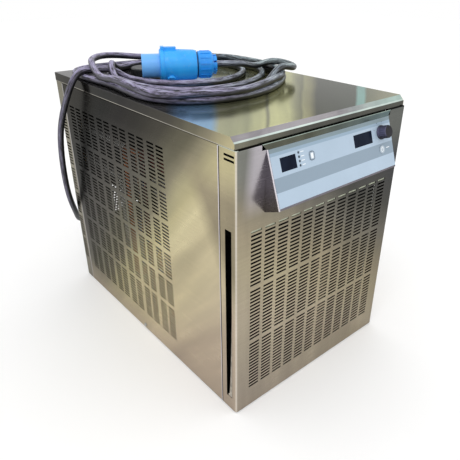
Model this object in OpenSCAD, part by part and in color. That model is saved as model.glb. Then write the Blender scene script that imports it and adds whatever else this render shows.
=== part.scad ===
/* [Casing] */
// Width of the casing
case_w = 368; // [360:1:400]
// Depth of the casing, front face to rear face
case_d = 560; // [550:1:600]
// Height of the top panel above the floor
case_h = 471.6; // [470:0.1:500]
// Thickness of the folded sheet
sheet = 1.2; // [1:0.1:1.5]
// Height of the panels' lower edge above the floor
panel_lift = 1; // [0.5:0.1:2]
// Outer radius of the upright bends
corner_r = 4; // [3:0.5:5]
// Depth of the front panel's side returns
front_return = 35.3; // [33:0.1:38]
// Gap between the front panel and the side panels
front_seam = 0.8; // [0.4:0.1:1.5]
// Depth of the rear panel's side returns
rear_return = 28; // [26:0.5:32]

/* [Lid] */
// Height of the lid's side flanges
lid_flange = 16; // [12:0.5:20]
// Size of the folded front edge
lid_chamfer = 8.6; // [6:0.1:10]
// How far the lid stands behind the front face
lid_setback = 4.1; // [2:0.1:6]
// How far the lid stands inside the side panels
lid_inset = 0.5; // [0.2:0.1:1]

/* [Slots] */
// Length of one slot
slot_len = 20.3; // [16:0.1:22]
// Height of one slot
slot_h = 3.2; // [2:0.1:3.6]
// Pitch of the slots
slot_pitch = 6.35; // [6:0.05:6.6]
// Pitch of the front panel's slot columns
front_col_pitch = 26.6; // [25:0.1:27]
// Height of the lowest front slot
front_slot_z = 40.9; // [38:0.1:44]
// Pitch of the front panel's three blocks of slots
front_block_pitch = 100.6; // [96:0.1:102]
// Rear end of the side panel's slot field
side_slot_y = 229.3; // [220:0.1:232]
// Height of the side panel's top slot
side_slot_z = 415.7; // [400:0.1:430]
// Pitch of the side panel's paired columns
pair_pitch = 58.04; // [56:0.01:59]

/* [Console] */
// Left end of the console
console_x0 = -132; // [-140:1:-125]
// Width of the console
console_w = 270; // [262:1:274]
// How far the console's top edge lies below the top panel
console_fall = 24.6; // [22:0.1:30]
// How far the console stands forward at its lower edge
console_reach = 27.4; // [24:0.1:30]
// Height of the console's face
console_drop = 80; // [76:1:86]
// Drop of the console's underside from front to back
console_under = 10.5; // [8:0.5:14]
// Thickness of the printed overlay
overlay_t = 0.5; // [0.3:0.1:0.8]

/* [Controls] */
// Height of the display windows
display_h = 19; // [17:0.5:20]
// Width of the left display window
left_display_w = 29.5; // [26:0.5:32]
// Width of the right display window
right_display_w = 44.5; // [40:0.5:48]
// Diameter of the knob at its base
knob_d = 22.5; // [20:0.5:24]
// Height of the knob
knob_h = 15; // [12:0.5:18]
// Diameter of the round power key
power_key_d = 12.5; // [10:0.5:14]
// Travel of the two keys
key_travel = 0.6; // [0.4:0.1:0.8]

/* [Air side] */
// Gap between the condenser duct and the casing's sides
duct_side = 22; // [21.5:0.5:26]
// Height of the duct's floor
duct_z0 = 22; // [21.5:0.5:24]
// Height between the duct's roof and the top panel
duct_headroom = 130.6; // [127:0.1:132]
// Depth of the duct behind the filter
duct_d = 58; // [56:1:64]
// Thickness of the air filter
filter_t = 12.4; // [11:0.1:12.8]
// Height left in the duct above and below the fan, together
fan_margin = 65; // [61:1:79]
// How far the fan's axis lies above the duct's middle
fan_rise = 0.5; // [-3:0.5:4]

/* [Cooling side] */
// Radius of the compressor shell
comp_r = 74; // [66:1:75]
// Height of the compressor shell
comp_h = 196; // [180:1:198]
// Width and depth of the reservoir
tank_w = 168; // [160:1:170]
// Height of the reservoir
tank_h = 168; // [150:1:170]
// Wall of the reservoir
tank_t = 2; // [1.5:0.5:3]
// Thickness of the foam round the reservoir
foam_t = 9.6; // [8:0.2:9.8]
// How far the reservoir's floor lies below the top panel
tank_drop = 221.6; // [219.6:0.1:221.8]
// Radius of the filler neck
neck_r = 22; // [18:0.5:24]

/* [Pump] */
// Radius of the pump motor
pump_r = 48; // [42:1:50]
// Length of the pump motor
pump_len = 130; // [110:1:134]
// Radius of the pump head
head_r = 38; // [34:1:39]
// Radius of the pump's shaft
pump_shaft_r = 6; // [5:0.5:7]

/* [Plug and lead] */
// Diameter of the supply lead
lead_d = 12; // [11:0.5:14]
// Length of the plug
plug_len = 133; // [128:1:140]
// Diameter of the plug's flange
plug_flange_d = 57; // [54:1:62]
// Diameter of the plug's sleeve
plug_sleeve_d = 41; // [38:0.5:44]
// Height of the coiled lead
coil_h = 31; // [29:0.5:34]

/* [Hidden] */

// Shared places, worked out from the casing
half_w = case_w / 2;
front_y = -case_d / 2;
rear_y = case_d / 2;
inner_w = half_w - sheet;
panel_top = case_h - lid_flange;
side_y0 = front_y + front_return + front_seam;
side_y1 = rear_y - rear_return;
pan_h = 20;
pan_t = 2;
clearance = 0.3;
slip = 0.05;
eps = 0.01;
col_step = 26.67;

// Stainless and other colours of the pieces
steel = "#b3ad97";
zinc = "#c4c6c4";
copper = "#b06b3f";
black = "#1d1e20";
blue = "#1f93ec";

// Console face, worked out from its profile
face_tilt = atan(console_reach / console_drop);
face_len = norm([console_reach, console_drop]);
console_x1 = console_x0 + console_w;
console_top = case_h - console_fall;

// Condenser and fan
duct_y0 = front_y + 24;
duct_y1 = duct_y0 + duct_d;
duct_z1 = case_h - duct_headroom;
duct_hw = half_w - duct_side;
duct_t = sheet;
filter_y = duct_y0 - 0.8 - filter_t;
core_y0 = duct_y0 + 8;
core_d = 40;
tube_r = 4.76;
shroud_lip = 16;
fan_d = duct_z1 - duct_z0 - fan_margin;
fan_z = (duct_z0 + duct_z1) / 2 + fan_rise;
fan_y = duct_y1 + sheet + 12;
fan_gap = 5;

// Compressor, reservoir and pump
comp_x = half_w - 99;
comp_y = 0;
comp_z = 27;
tank_z = case_h - tank_drop;
tank_x = 72 - half_w;
tank_y = rear_y - 24 - tank_w;
neck_x = tank_x + 57;
neck_y = tank_y + 57;
pump_x = tank_x + tank_w * 3 / 7;
pump_y = tank_y + 42;
pump_z = 62;
head_d = 42;

// Fittings on the rear panel
fitting_reach = console_reach;
fitting_r = 9.2;
fitting_x = 38 - half_w;
outlet_z = tank_z + 40;
inlet_z = outlet_z + 70;
drain_x = tank_x + tank_w - 16;
drain_y = rear_y - 50;
drain_z = 45;
breaker_x = half_w - 64;
breaker_z = 70;
gland_x = -95;
gland_z = 100;
gland_len = 34;

// Plug: axis from the sleeve's mouth towards the lead
plug_x = -100;
plug_y = 81;
plug_turn = -28.7;
plug_z = case_h + plug_flange_d / 2 + 0.3;
coil_x = -8;
coil_y = 52;
coil_r = 165;
coil_band = 45;
coil_straight = 46;

// Route of the lead from the gland to the coil, chosen by eye
lead_route = [[-95, 302, 100], [-95, 318, 100], [-96, 340, 99], [-103, 360, 99], [-119, 373, 103],
    [-139, 370, 112], [-156, 350, 124], [-169, 324, 138], [-181, 301, 157], [-193, 284, 186],
    [-202, 270, 224], [-207, 259, 268], [-209, 248, 318], [-209, 233, 364], [-207, 213, 402],
    [-203, 187, 438], [-197, 172, 461], [-186, 166, 479], [-172, 164, 490], [-157, 168, 495],
    [-146, 172, 496], [-138, 176, 496]];

// Route of the lead from the plug to the coil, chosen by eye
tail_route = [[8, 21.9, 500.4], [17, 17, 500.4], [32, 9, 500], [50, 2, 498], [70, -4, 495.5], [88, -8, 493.5],
    [105, -11, 492.5]];

// Folded sheet with two rounded corners, seen from above, face along y = 0
module u_section(w, depth, r) {
    translate([r - w / 2, 0]) square([w - 2 * r, sheet]);
    for (side = [0, 1]) mirror([side, 0]) {
        translate([w / 2 - r, r]) intersection() {
            difference() {
                circle(r = r, $fn = 48);
                circle(r = r - sheet, $fn = 48);
            }
            translate([0, -r]) square([r, r]);
        }
        translate([w / 2 - sheet, r]) square([sheet, depth - r]);
    }
}

// One flange bent at a right angle, seen end on, leg along +x from the bend
module bend_section(r, leg) {
    translate([r, -r]) intersection() {
        difference() {
            circle(r = r, $fn = 48);
            circle(r = r - sheet, $fn = 48);
        }
        translate([-r, 0]) square([r, r]);
    }
    translate([r, -sheet]) square([leg - r, sheet]);
}

// Upright plate in the plane y = 0, drawn with x across and y up
module upright(t) {
    rotate([90, 0, 0]) translate([0, 0, -t]) linear_extrude(t) children();
}

// Upright plate in the plane x = 0, drawn with x along the depth and y up
module sideways(t) {
    rotate([90, 0, 90]) linear_extrude(t) children();
}

// Rods and tubes with round bends, along a list of corner points
function unit(v) = v / norm(v);
function heading(p, i) = unit(p[i + 1] - p[i]);
function turn_at(p, i) = acos(heading(p, i - 1) * heading(p, i));
function setback(p, i, bend) = (i == 0 || i == len(p) - 1) ? 0 : bend * tan(turn_at(p, i) / 2);
module bent_tube(p, r, bend) {
    for (i = [0 : len(p) - 2]) {
        d = heading(p, i);
        a = p[i] + d * setback(p, i, bend);
        b = p[i + 1] - d * setback(p, i + 1, bend);
        translate(a) rotate([0, acos(d[2]), atan2(d[1], d[0])]) cylinder(r = r, h = norm(b - a), $fn = 32);
    }
    for (i = [1 : 1 : len(p) - 2]) {
        d = heading(p, i - 1);
        n = unit(heading(p, i) - d * (d * heading(p, i)));
        up = cross(-n, d);
        c = p[i] - d * setback(p, i, bend) + n * bend;
        multmatrix([[-n[0], d[0], up[0], c[0]], [-n[1], d[1], up[1], c[1]], [-n[2], d[2], up[2], c[2]], [0, 0, 0, 1]])
            rotate_extrude(angle = turn_at(p, i), $fn = 64) translate([bend, 0]) circle(r = r, $fn = 32);
    }
}

// Round cord along a smooth curve through its route points
function mix4(a, b, c, d, t) = 0.5 * ((2 * b) + (c - a) * t + (2 * a - 5 * b + 4 * c - d) * t * t
    + (3 * b - a - 3 * c + d) * t * t * t);
function route_at(p, i, t) = mix4(p[max(i - 1, 0)], p[i], p[i + 1], p[min(i + 2, len(p) - 1)], t);
function smooth(p, n) = concat([for (i = [0 : len(p) - 2], k = [0 : n - 1]) route_at(p, i, k / n)], [p[len(p) - 1]]);
function ring(c, d, r, n) = let (u = unit(cross(d, [0.2, 0.1, 1])), v = cross(d, u))
    [for (k = [0 : n - 1]) c + r * (cos(360 * k / n) * u + sin(360 * k / n) * v)];
module cord_tube(route, r, steps, sides) {
    c = smooth(route, steps);
    m = len(c);
    d = [for (i = [0 : m - 1]) unit(c[min(i + 1, m - 1)] - c[max(i - 1, 0)])];
    points = [for (i = [0 : m - 1]) each ring(c[i], d[i], r, sides)];
    walls = [for (i = [0 : m - 2], k = [0 : sides - 1])
        [i * sides + k, i * sides + (k + 1) % sides, (i + 1) * sides + (k + 1) % sides, (i + 1) * sides + k]];
    ends = [[for (k = [sides - 1 : -1 : 0]) k], [for (k = [0 : sides - 1]) (m - 1) * sides + k]];
    polyhedron(points, concat(walls, ends), convexity = 8);
}

// Casing
module base_pan() {
    reach_y = case_d / 2 - sheet;
    color(zinc) difference() {
        translate([-inner_w, -reach_y, 0]) cube([2 * inner_w, 2 * reach_y, pan_h]);
        translate([pan_t - inner_w, pan_t - reach_y, pan_t])
            cube([2 * (inner_w - pan_t), 2 * (reach_y - pan_t), pan_h]);
        side_screw_holes(screw_r + 0.1);
        rear_screw_holes(screw_r + 0.1);
        for (x = [-1, 1], y = [-1, 1]) translate([x * (inner_w + eps), y * (reach_y + eps), -eps])
            translate([-corner_r, -corner_r, 0]) cube([2 * corner_r, 2 * corner_r, pan_h + 1]);
    }
}

post_w = 18;
post_t = 1.6;
module frame_posts() {
    color(zinc) for (x = [0, 1], y = [0, 1]) mirror([x, 0, 0]) {
        corner_y = y == 0 ? side_y0 + 2 : side_y1 - 2;
        turn = y == 0 ? 1 : -1;
        translate([inner_w - pan_t, corner_y, pan_t]) {
            translate([-post_t, min(0, turn * post_w), 0]) cube([post_t, post_w, panel_top - 14 - pan_t]);
            translate([-post_w, min(0, turn * post_t), 0]) cube([post_w, post_t, panel_top - 14 - pan_t]);
        }
    }
}

vent_z = 438.5;
vent_len = 20.8;
vent_y = front_y + 3.7;
filter_slot_w = 13.9;
filter_slot_z0 = 26;
filter_slot_z1 = duct_z1 - 2.4;
front_cols = 12;
front_rows = 15;
window_x0 = -118;
window_x1 = 130;
window_z0 = 374;
window_z1 = 440;
module front_slots() {
    x0 = -(front_cols - 1) * front_col_pitch / 2 - slot_len / 2 - 0.25;
    for (c = [0 : front_cols - 1], b = [0 : 2], k = [0 : front_rows - 1])
        translate([x0 + c * front_col_pitch, front_slot_z + b * front_block_pitch + k * slot_pitch])
            square([slot_len, slot_h]);
}

strip_root = 3.6;
mitre_x0 = console_x0 - 8;
mitre_x1 = console_x1 + 4;
module front_panel() {
    tab_r = 3;
    color(steel) {
        translate([0, front_y, 0]) upright(sheet) difference() {
            translate([corner_r - half_w, panel_lift]) square([case_w - 2 * corner_r, panel_top - tab_r - panel_lift]);
            front_slots();
            translate([window_x0, window_z0]) square([window_x1 - window_x0, window_z1 - window_z0]);
            translate([console_x0, console_top - strip_root - 0.2]) square([console_w, 30]);
            translate([mitre_x0, console_top]) square([mitre_x1 - mitre_x0, 20]);
        }
        difference() {
            translate([0, front_y, panel_lift]) linear_extrude(panel_top - panel_lift) difference() {
                u_section(case_w, front_return, corner_r);
                translate([corner_r - half_w, -1]) square([case_w - 2 * corner_r, corner_r]);
            }
            translate([-half_w - 1, duct_y0 - 0.2 - filter_slot_w, filter_slot_z0])
                cube([5, filter_slot_w, filter_slot_z1 - filter_slot_z0]);
            for (k = [0, 1]) translate([-half_w - 1, vent_y, vent_z + k * slot_pitch]) cube([5, vent_len, slot_h]);
        }
        for (span = [[corner_r - half_w, mitre_x0], [mitre_x1, half_w - corner_r]])
            translate([span[0], front_y, panel_top]) rotate([90, 0, 90]) linear_extrude(span[1] - span[0])
                bend_section(tab_r, 14);
    }
}

side_rows = 59;
side_gaps = [11, 20, 29, 38, 47];
module side_slots() {
    for (p = [0 : 5], q = [0, 1], k = [0 : side_rows - 1]) if (len(search(k, side_gaps)) == 0)
        translate([side_slot_y - slot_len - p * pair_pitch - q * col_step, side_slot_z - slot_h - k * slot_pitch])
            square([slot_len, slot_h]);
}

module side_panel() {
    fold_r = 2.4;
    translate([-half_w, 0, 0]) sideways(sheet) difference() {
        translate([side_y0, panel_lift]) square([side_y1 - side_y0, panel_top - fold_r - panel_lift]);
        side_slots();
        translate([screw_y, screw_z]) circle(r = screw_r + 0.1, $fn = 24);
    }
    translate([-half_w, side_y1, panel_top]) rotate([90, 0, 0]) linear_extrude(side_y1 - side_y0)
        bend_section(fold_r, 12);
}
module left_side_panel() {
    color(steel) side_panel();
}
module right_side_panel() {
    color(steel) mirror([1, 0, 0]) side_panel();
}

strip_slot = 19;
strip_rows = 53;
strip_top = 388;
rear_cols = 10;
rear_block_z = 140;
module rear_panel() {
    color(steel) {
        translate([0, rear_y, 0]) mirror([0, 1, 0]) upright(sheet) difference() {
            translate([corner_r - half_w, panel_lift]) square([case_w - 2 * corner_r, panel_top - panel_lift]);
            for (c = [0 : rear_cols - 1], b = [0, 1], k = [0 : front_rows - 1])
                translate([-104 + c * front_col_pitch, rear_block_z + b * front_block_pitch + k * slot_pitch])
                    square([slot_len, slot_h]);
            for (z = [inlet_z, outlet_z]) translate([fitting_x, z]) circle(r = fitting_neck + slip, $fn = 48);
            translate([gland_x, gland_z]) circle(r = gland_neck + slip, $fn = 48);
            translate([drain_x, drain_z]) circle(r = drain_neck + slip, $fn = 48);
            translate([breaker_x - breaker_w / 2, breaker_z - breaker_h / 2])
                square([breaker_w, breaker_h]);
            for (x = [-1, 1]) translate([x * rear_screw_x, rear_screw_z]) circle(r = screw_r + 0.1, $fn = 24);
        }
        difference() {
            translate([0, rear_y, panel_lift]) mirror([0, 1, 0]) linear_extrude(panel_top - panel_lift) difference() {
                u_section(case_w, rear_return, corner_r);
                translate([corner_r - half_w, -1]) square([case_w - 2 * corner_r, corner_r]);
            }
            for (x = [-1, 1], k = [0 : strip_rows - 1]) if (k % 9 != 8)
                translate([x * half_w - 3, rear_y - 3 - strip_slot, strip_top - slot_h - k * slot_pitch])
                    cube([6, strip_slot, slot_h]);
        }
    }
}

// Lid: folded top with a sloping front edge and upright flanges
lid_w = case_w - 2 * lid_inset;
lid_front = front_y + lid_setback;
module lid_outline() {
    polygon([[lid_front, case_h - lid_flange], [lid_front, case_h - lid_chamfer], [lid_front + lid_chamfer, case_h],
        [rear_y, case_h], [rear_y, case_h - lid_flange]]);
}
module top_lid() {
    chamfer_in = sheet * tan(22.5);
    color(steel) difference() {
        translate([-lid_w / 2, 0, 0]) sideways(lid_w) lid_outline();
        translate([sheet - lid_w / 2, 0, 0]) sideways(lid_w - 2 * sheet) polygon([
            [lid_front + sheet, case_h - lid_flange - 1], [lid_front + sheet, case_h - lid_chamfer - chamfer_in],
            [lid_front + lid_chamfer + chamfer_in, case_h - sheet], [rear_y - sheet, case_h - sheet],
            [rear_y - sheet, case_h - lid_flange - 1]]);
        translate([neck_x, neck_y, case_h - 5]) cylinder(r = neck_r + sheet + 0.5, h = 10, $fn = 64);
    }
}

// Screws: round heads outside the panels, shanks through sheet and pan
screw_r = 2;
screw_y = 9;
screw_z = 8;
rear_screw_x = 150;
rear_screw_z = 8;
screw_len = 8;
module side_screw_holes(r) {
    for (x = [-1, 1]) translate([x * half_w, screw_y, screw_z]) rotate([0, 90, 0])
        cylinder(r = r, h = 20, center = true, $fn = 24);
}
module rear_screw_holes(r) {
    for (x = [-1, 1]) translate([x * rear_screw_x, rear_y, rear_screw_z]) rotate([90, 0, 0])
        cylinder(r = r, h = 20, center = true, $fn = 24);
}
module pan_screw() {
    rotate_extrude($fn = 32) polygon([[0, -screw_len], [screw_r - 0.05, -screw_len], [screw_r - 0.05, 0], [4, 0],
        [3.8, 1], [2.8, 1.8], [0, 2.2]]);
}
module panel_screws() {
    color("silver") {
        for (x = [0, 1]) mirror([x, 0, 0]) translate([half_w, screw_y, screw_z]) rotate([0, 90, 0]) pan_screw();
        for (x = [-1, 1]) translate([x * rear_screw_x, rear_y, rear_screw_z]) rotate([-90, 0, 0]) pan_screw();
    }
}

// Console, drawn on its sloping face: x across, y up the face, z outwards
module on_face() {
    translate([0, front_y, console_top]) rotate([90 - face_tilt, 0, 0]) children();
}
module console_profile() {
    polygon([[front_y, console_top], [front_y - console_reach, console_top - console_drop],
        [front_y, console_top - console_drop - console_under]]);
}
display_y = -25.3;
left_display_x = -98.5;
right_display_x = 65;
select_x = -52.5;
select_w = 10;
select_h = 12.4;
select_y = -25;
power_x = 108;
power_y = -50;
knob_x = 110.6;
knob_y = -23;
led_x = -77.3;
led_step = 6;
shaft_r = 3;
key_gap = 0.25;
module rounded(w, h, r) {
    for (x = [-1, 1], y = [-1, 1]) translate([x * (w / 2 - r), y * (h / 2 - r)]) circle(r = r, $fn = 32);
    square([w - 2 * r, h], center = true);
    square([w, h - 2 * r], center = true);
}
module face_openings(gap) {
    translate([left_display_x, display_y]) square([left_display_w + 2 * gap, display_h + 2 * gap], center = true);
    translate([right_display_x, display_y]) square([right_display_w + 2 * gap, display_h + 2 * gap], center = true);
    for (k = [0 : 3]) translate([led_x, -15.3 - k * led_step]) circle(r = 1.1 + gap, $fn = 24);
    translate([select_x, select_y]) rounded(select_w + 2 * gap, select_h + 2 * gap, 3 + gap);
    translate([power_x, power_y]) circle(r = power_key_d / 2 + gap, $fn = 48);
    translate([knob_x, knob_y]) circle(r = shaft_r + 1, $fn = 32);
}
function console_void(wall) = let (
        under = atan(console_under / console_reach),
        n = [cos(face_tilt) + sin(under), cos(under) - sin(face_tilt)],
        k = wall / (1 + cos(face_tilt) * sin(under) - sin(face_tilt) * cos(under)),
        top_in = console_top - wall / sin(face_tilt),
        low_in = console_top - console_drop - console_under + wall / cos(under))
    [[front_y + 1, top_in], [front_y, top_in], [front_y - console_reach + k * n[0], console_top - console_drop + k * n[1]],
        [front_y, low_in], [front_y + 1, low_in]];
module console_housing() {
    wall = sheet;
    color(steel) difference() {
        union() {
            translate([console_x0, 0, 0]) sideways(console_w) console_profile();
            translate([0, front_y, 0]) upright(sheet) polygon([[console_x0, console_top - strip_root],
                [console_x0, console_top], [mitre_x0, panel_top - 0.4], [mitre_x1, panel_top - 0.4],
                [console_x1, console_top], [console_x1, console_top - strip_root]]);
        }
        translate([console_x0 + wall, 0, 0]) sideways(console_w - 2 * wall) polygon(console_void(wall));
        on_face() translate([0, 0, -wall - 1]) linear_extrude(wall + 2) face_openings(key_gap);
    }
}
overlay_edge = 2.6;
module console_overlay() {
    color("#a9bccd") on_face() linear_extrude(overlay_t) difference() {
        translate([console_x0 + overlay_edge, 3 - face_len]) square([console_w - overlay_edge - 0.6, face_len - 4]);
        face_openings(key_gap);
    }
}
board_z = -17;
board_t = 1.6;
module display_module(w, x) {
    on_face() translate([x, display_y, 0]) {
        translate([-w / 2, -display_h / 2, board_z]) cube([w, display_h, overlay_t - board_z - 0.1]);
    }
}
module left_display() {
    color("#171b2b") display_module(left_display_w, left_display_x);
}
module right_display() {
    color("#171b2b") display_module(right_display_w, right_display_x);
}
module status_leds() {
    color("#3c4653") on_face() for (k = [0 : 3]) translate([led_x, -15.3 - k * led_step, board_z])
        cylinder(r = 1.1, h = overlay_t - board_z - 0.1, $fn = 24);
}
key_proud = 0.9;
switch_h = 8;
key_lip = 1;
lip_t = 1.2;
module key() {
    lip_z = -sheet - 0.2 - lip_t;
    stem_z = board_z + switch_h + key_travel + 0.1;
    translate([0, 0, lip_z]) linear_extrude(overlay_t + key_proud - lip_z) children(0);
    translate([0, 0, lip_z]) linear_extrude(lip_t) children(1);
    translate([0, 0, stem_z]) cylinder(r = 2.5, h = lip_z - stem_z + 0.1, $fn = 24);
}
module select_key() {
    color("#eef0f2") on_face() translate([select_x, select_y, 0]) key() {
        rounded(select_w, select_h, 3);
        rounded(select_w + 2 * key_lip, select_h + 2 * key_lip, 3 + key_lip);
    }
}
module power_key() {
    color("#dfe6ec") on_face() translate([power_x, power_y, 0]) key() {
        circle(r = power_key_d / 2, $fn = 48);
        circle(r = power_key_d / 2 + key_lip, $fn = 48);
    }
}
module control_board() {
    color("#2f6b3c") on_face() {
        translate([console_x0 + 17, -70, board_z - board_t]) cube([console_w - 29, 62, board_t]);
        for (p = [[select_x, select_y], [power_x, power_y]]) translate([p[0] - 3, p[1] - 3, board_z])
            cube([6, 6, switch_h]);
        for (x = [console_x0 + 22, console_x1 - 16], y = [-64, -11]) translate([x, y, board_z]) cylinder(r = 2.4, h = -sheet - board_z, $fn = 24);
    }
}
encoder_w = 13;
module encoder_body() {
    color("#5b6168") on_face() translate([knob_x, knob_y, 0]) difference() {
        union() {
            translate([-encoder_w / 2, -encoder_w / 2, board_z]) cube([encoder_w, encoder_w, 9]);
            translate([0, 0, board_z + 9]) cylinder(r = 5, h = -sheet - board_z - 9.2, $fn = 32);
        }
        translate([0, 0, board_z + 2]) cylinder(r = shaft_r + slip, h = 30, $fn = 48);
    }
}
knob_base = overlay_t + 0.8;
module knob_shaft() {
    color("silver") on_face() translate([knob_x, knob_y, board_z + 2.2])
        cylinder(r = shaft_r, h = knob_base + knob_h - 5 - board_z - 2.2, $fn = 48);
}
module control_knob() {
    flutes = 18;
    color(black) on_face() translate([knob_x, knob_y, knob_base]) difference() {
        rotate_extrude($fn = 96) polygon([[shaft_r, 0], [knob_d / 2, 0], [knob_d / 2, 1.6], [knob_d / 2 - 0.9, 2.4],
            [knob_d / 2 - 1.2, knob_h - 1], [knob_d / 2 - 2, knob_h], [0, knob_h], [0, knob_h - 4.9],
            [shaft_r, knob_h - 4.9]]);
        for (k = [0 : flutes - 1]) rotate(k * 360 / flutes) translate([knob_d / 2 - 0.3, 0, 3])
            cylinder(r = 1.2, h = knob_h, $fn = 16);
        translate([-0.6, knob_d / 2 - 7, knob_h - 0.5]) cube([1.2, 8, 1]);
    }
}

// Air filter in its rails, condenser, duct and fan
filter_x0 = 12 - half_w;
filter_x1 = half_w - 33;
filter_z0 = 28;
filter_z1 = duct_z1 - 4.4;
filter_rim = 9;
module filter_frame() {
    color("#303236") translate([0, filter_y, 0]) upright(filter_t) difference() {
        translate([filter_x0, filter_z0]) square([filter_x1 - filter_x0, filter_z1 - filter_z0]);
        translate([filter_x0 + filter_rim, filter_z0 + filter_rim])
            square([filter_x1 - filter_x0 - 2 * filter_rim, filter_z1 - filter_z0 - 2 * filter_rim]);
    }
}
module filter_foam() {
    color(black) translate([filter_x0 + filter_rim, filter_y + 1.5, filter_z0 + filter_rim])
        cube([filter_x1 - filter_x0 - 2 * filter_rim, filter_t - 3, filter_z1 - filter_z0 - 2 * filter_rim]);
}
rail_lip = 12;
rail_y0 = filter_y - 0.5 - sheet;
module rail(length) {
    rail_d = duct_y0 - rail_y0;
    difference() {
        cube([length, rail_d, rail_lip]);
        translate([-1, sheet, sheet]) cube([length + 2, rail_d, rail_lip]);
    }
}
module filter_guides() {
    rail_x0 = -duct_hw;
    rail_len = duct_hw + filter_x1 + 0.4;
    color(zinc) {
        translate([rail_x0, rail_y0, filter_z0 - 0.4 - sheet]) rail(rail_len);
        translate([rail_x0, rail_y0, filter_z1 + 0.4 + sheet]) mirror([0, 0, 1]) rail(rail_len);
        translate([filter_x1 + 0.4, rail_y0, filter_z0 - 0.4 - sheet])
            cube([sheet, duct_y0 - rail_y0, filter_z1 - filter_z0 + 0.8 + 2 * sheet]);
        translate([filter_x1 + 0.4 - rail_lip, rail_y0, filter_z0 + rail_lip])
            cube([rail_lip, sheet, filter_z1 - filter_z0 - 2 * rail_lip]);
    }
}
duct_foot = 12;
module condenser_duct() {
    color(zinc) {
        difference() {
            translate([-duct_hw, duct_y0, duct_z0]) cube([2 * duct_hw, duct_d, duct_z1 - duct_z0]);
            translate([duct_t - duct_hw, duct_y0 + duct_t, duct_z0 + duct_t])
                cube([2 * (duct_hw - duct_t), duct_d, duct_z1 - duct_z0 - 2 * duct_t]);
            translate([-duct_hw + 12, duct_y0 - 1, duct_z0 + 12])
                cube([2 * (duct_hw - 12), duct_t + 2, duct_z1 - duct_z0 - 24]);
        }
        for (x = [-duct_hw, duct_hw - duct_foot]) translate([x, duct_y0 + 6, pan_t])
            cube([duct_foot, duct_d - 12, duct_z0 - pan_t]);
    }
}
fin_count = 40;
fin_x = duct_hw - 21;
line_x = half_w - 32;
line_out_z = 56;
tube_step = 23.2;
tube_rows = 2 * floor((duct_z1 - line_out_z - 6) / tube_step / 2);
line_in_z = line_out_z + (tube_rows - 1) * tube_step;
module fin(t, rise) {
    sideways(t) difference() {
        translate([core_y0, duct_z0 + rise]) square([core_d, duct_z1 - duct_z0 - 2 * rise]);
        for (r = [0 : tube_rows - 1]) translate([core_y0 + core_d / 2, line_out_z + r * tube_step])
            circle(r = tube_r + slip, $fn = 32);
    }
}
module condenser_fins() {
    fin_t = 0.4;
    color("#b9bec2") {
        for (k = [1 : fin_count - 2]) translate([-fin_x + k * 2 * fin_x / (fin_count - 1) - fin_t / 2, 0, 0])
            fin(fin_t, 8);
        for (x = [-fin_x, fin_x - sheet]) translate([x, 0, 0]) fin(sheet, duct_t);
    }
}
module condenser_tubes() {
    end_x = fin_x + 1;
    core_y = core_y0 + core_d / 2;
    color(copper) {
        for (r = [1 : tube_rows - 2]) translate([-end_x, core_y, line_out_z + r * tube_step]) rotate([0, 90, 0])
            cylinder(r = tube_r, h = 2 * end_x, $fn = 32);
        for (r = [0 : tube_rows - 2]) mirror([r % 2, 0, 0]) translate([end_x, core_y, line_out_z + (r + 0.5) * tube_step])
            rotate([90, 0, 0]) rotate([0, 0, -90]) rotate_extrude(angle = 180, $fn = 64) translate([tube_step / 2, 0])
                circle(r = tube_r, $fn = 32);
        for (z = [line_out_z, line_in_z]) bent_tube([[end_x, core_y, z], [-line_x, core_y, z],
            [-line_x, duct_y1 - 14, z]], tube_r, 9);
    }
}
module fan_shroud() {
    fan_hole = fan_d / 2 + fan_gap;
    color(zinc) translate([0, duct_y1, 0]) {
        upright(sheet) difference() {
            translate([-duct_hw, duct_z0]) square([2 * duct_hw, duct_z1 - duct_z0]);
            translate([0, fan_z]) circle(r = fan_hole, $fn = 128);
            for (z = [line_in_z, line_out_z]) translate([-line_x, z]) circle(r = tube_r + 1, $fn = 32);
        }
        fan_spider();
        translate([0, sheet, fan_z]) rotate([-90, 0, 0]) difference() {
            cylinder(r = fan_hole + sheet, h = shroud_lip, $fn = 128);
            translate([0, 0, -1]) cylinder(r = fan_hole, h = shroud_lip + 2, $fn = 128);
        }
    }
}
motor_r = 42;
motor_len = 62;
motor_y = fan_y + 26;
module fan_spider() {
    bar_w = 16;
    bar_r = fan_d / 2 + 14;
    leg = motor_y + 2 - duct_y1;
    translate([0, 0, fan_z]) difference() {
        for (turn = [45, 135]) rotate([0, turn, 0]) {
            translate([-bar_r, leg - 2, -bar_w / 2]) cube([2 * bar_r, 2, bar_w]);
            for (x = [-bar_r, bar_r - 2]) translate([x, sheet, -bar_w / 2]) cube([2, leg - sheet, bar_w]);
        }
        translate([0, leg - 5, 0]) rotate([-90, 0, 0]) cylinder(r = motor_r - 14, h = 10, $fn = 48);
    }
}
module fan_motor() {
    color("#3a3d40") translate([0, motor_y + 2, fan_z]) rotate([-90, 0, 0]) difference() {
        union() {
            cylinder(r = motor_r, h = motor_len, $fn = 64);
            translate([0, 0, motor_len]) cylinder(r1 = motor_r - 4, r2 = motor_r - 12, h = 8, $fn = 64);
        }
        translate([0, 0, -1]) cylinder(r = 4 + slip, h = motor_len - 6, $fn = 32);
    }
}
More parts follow.
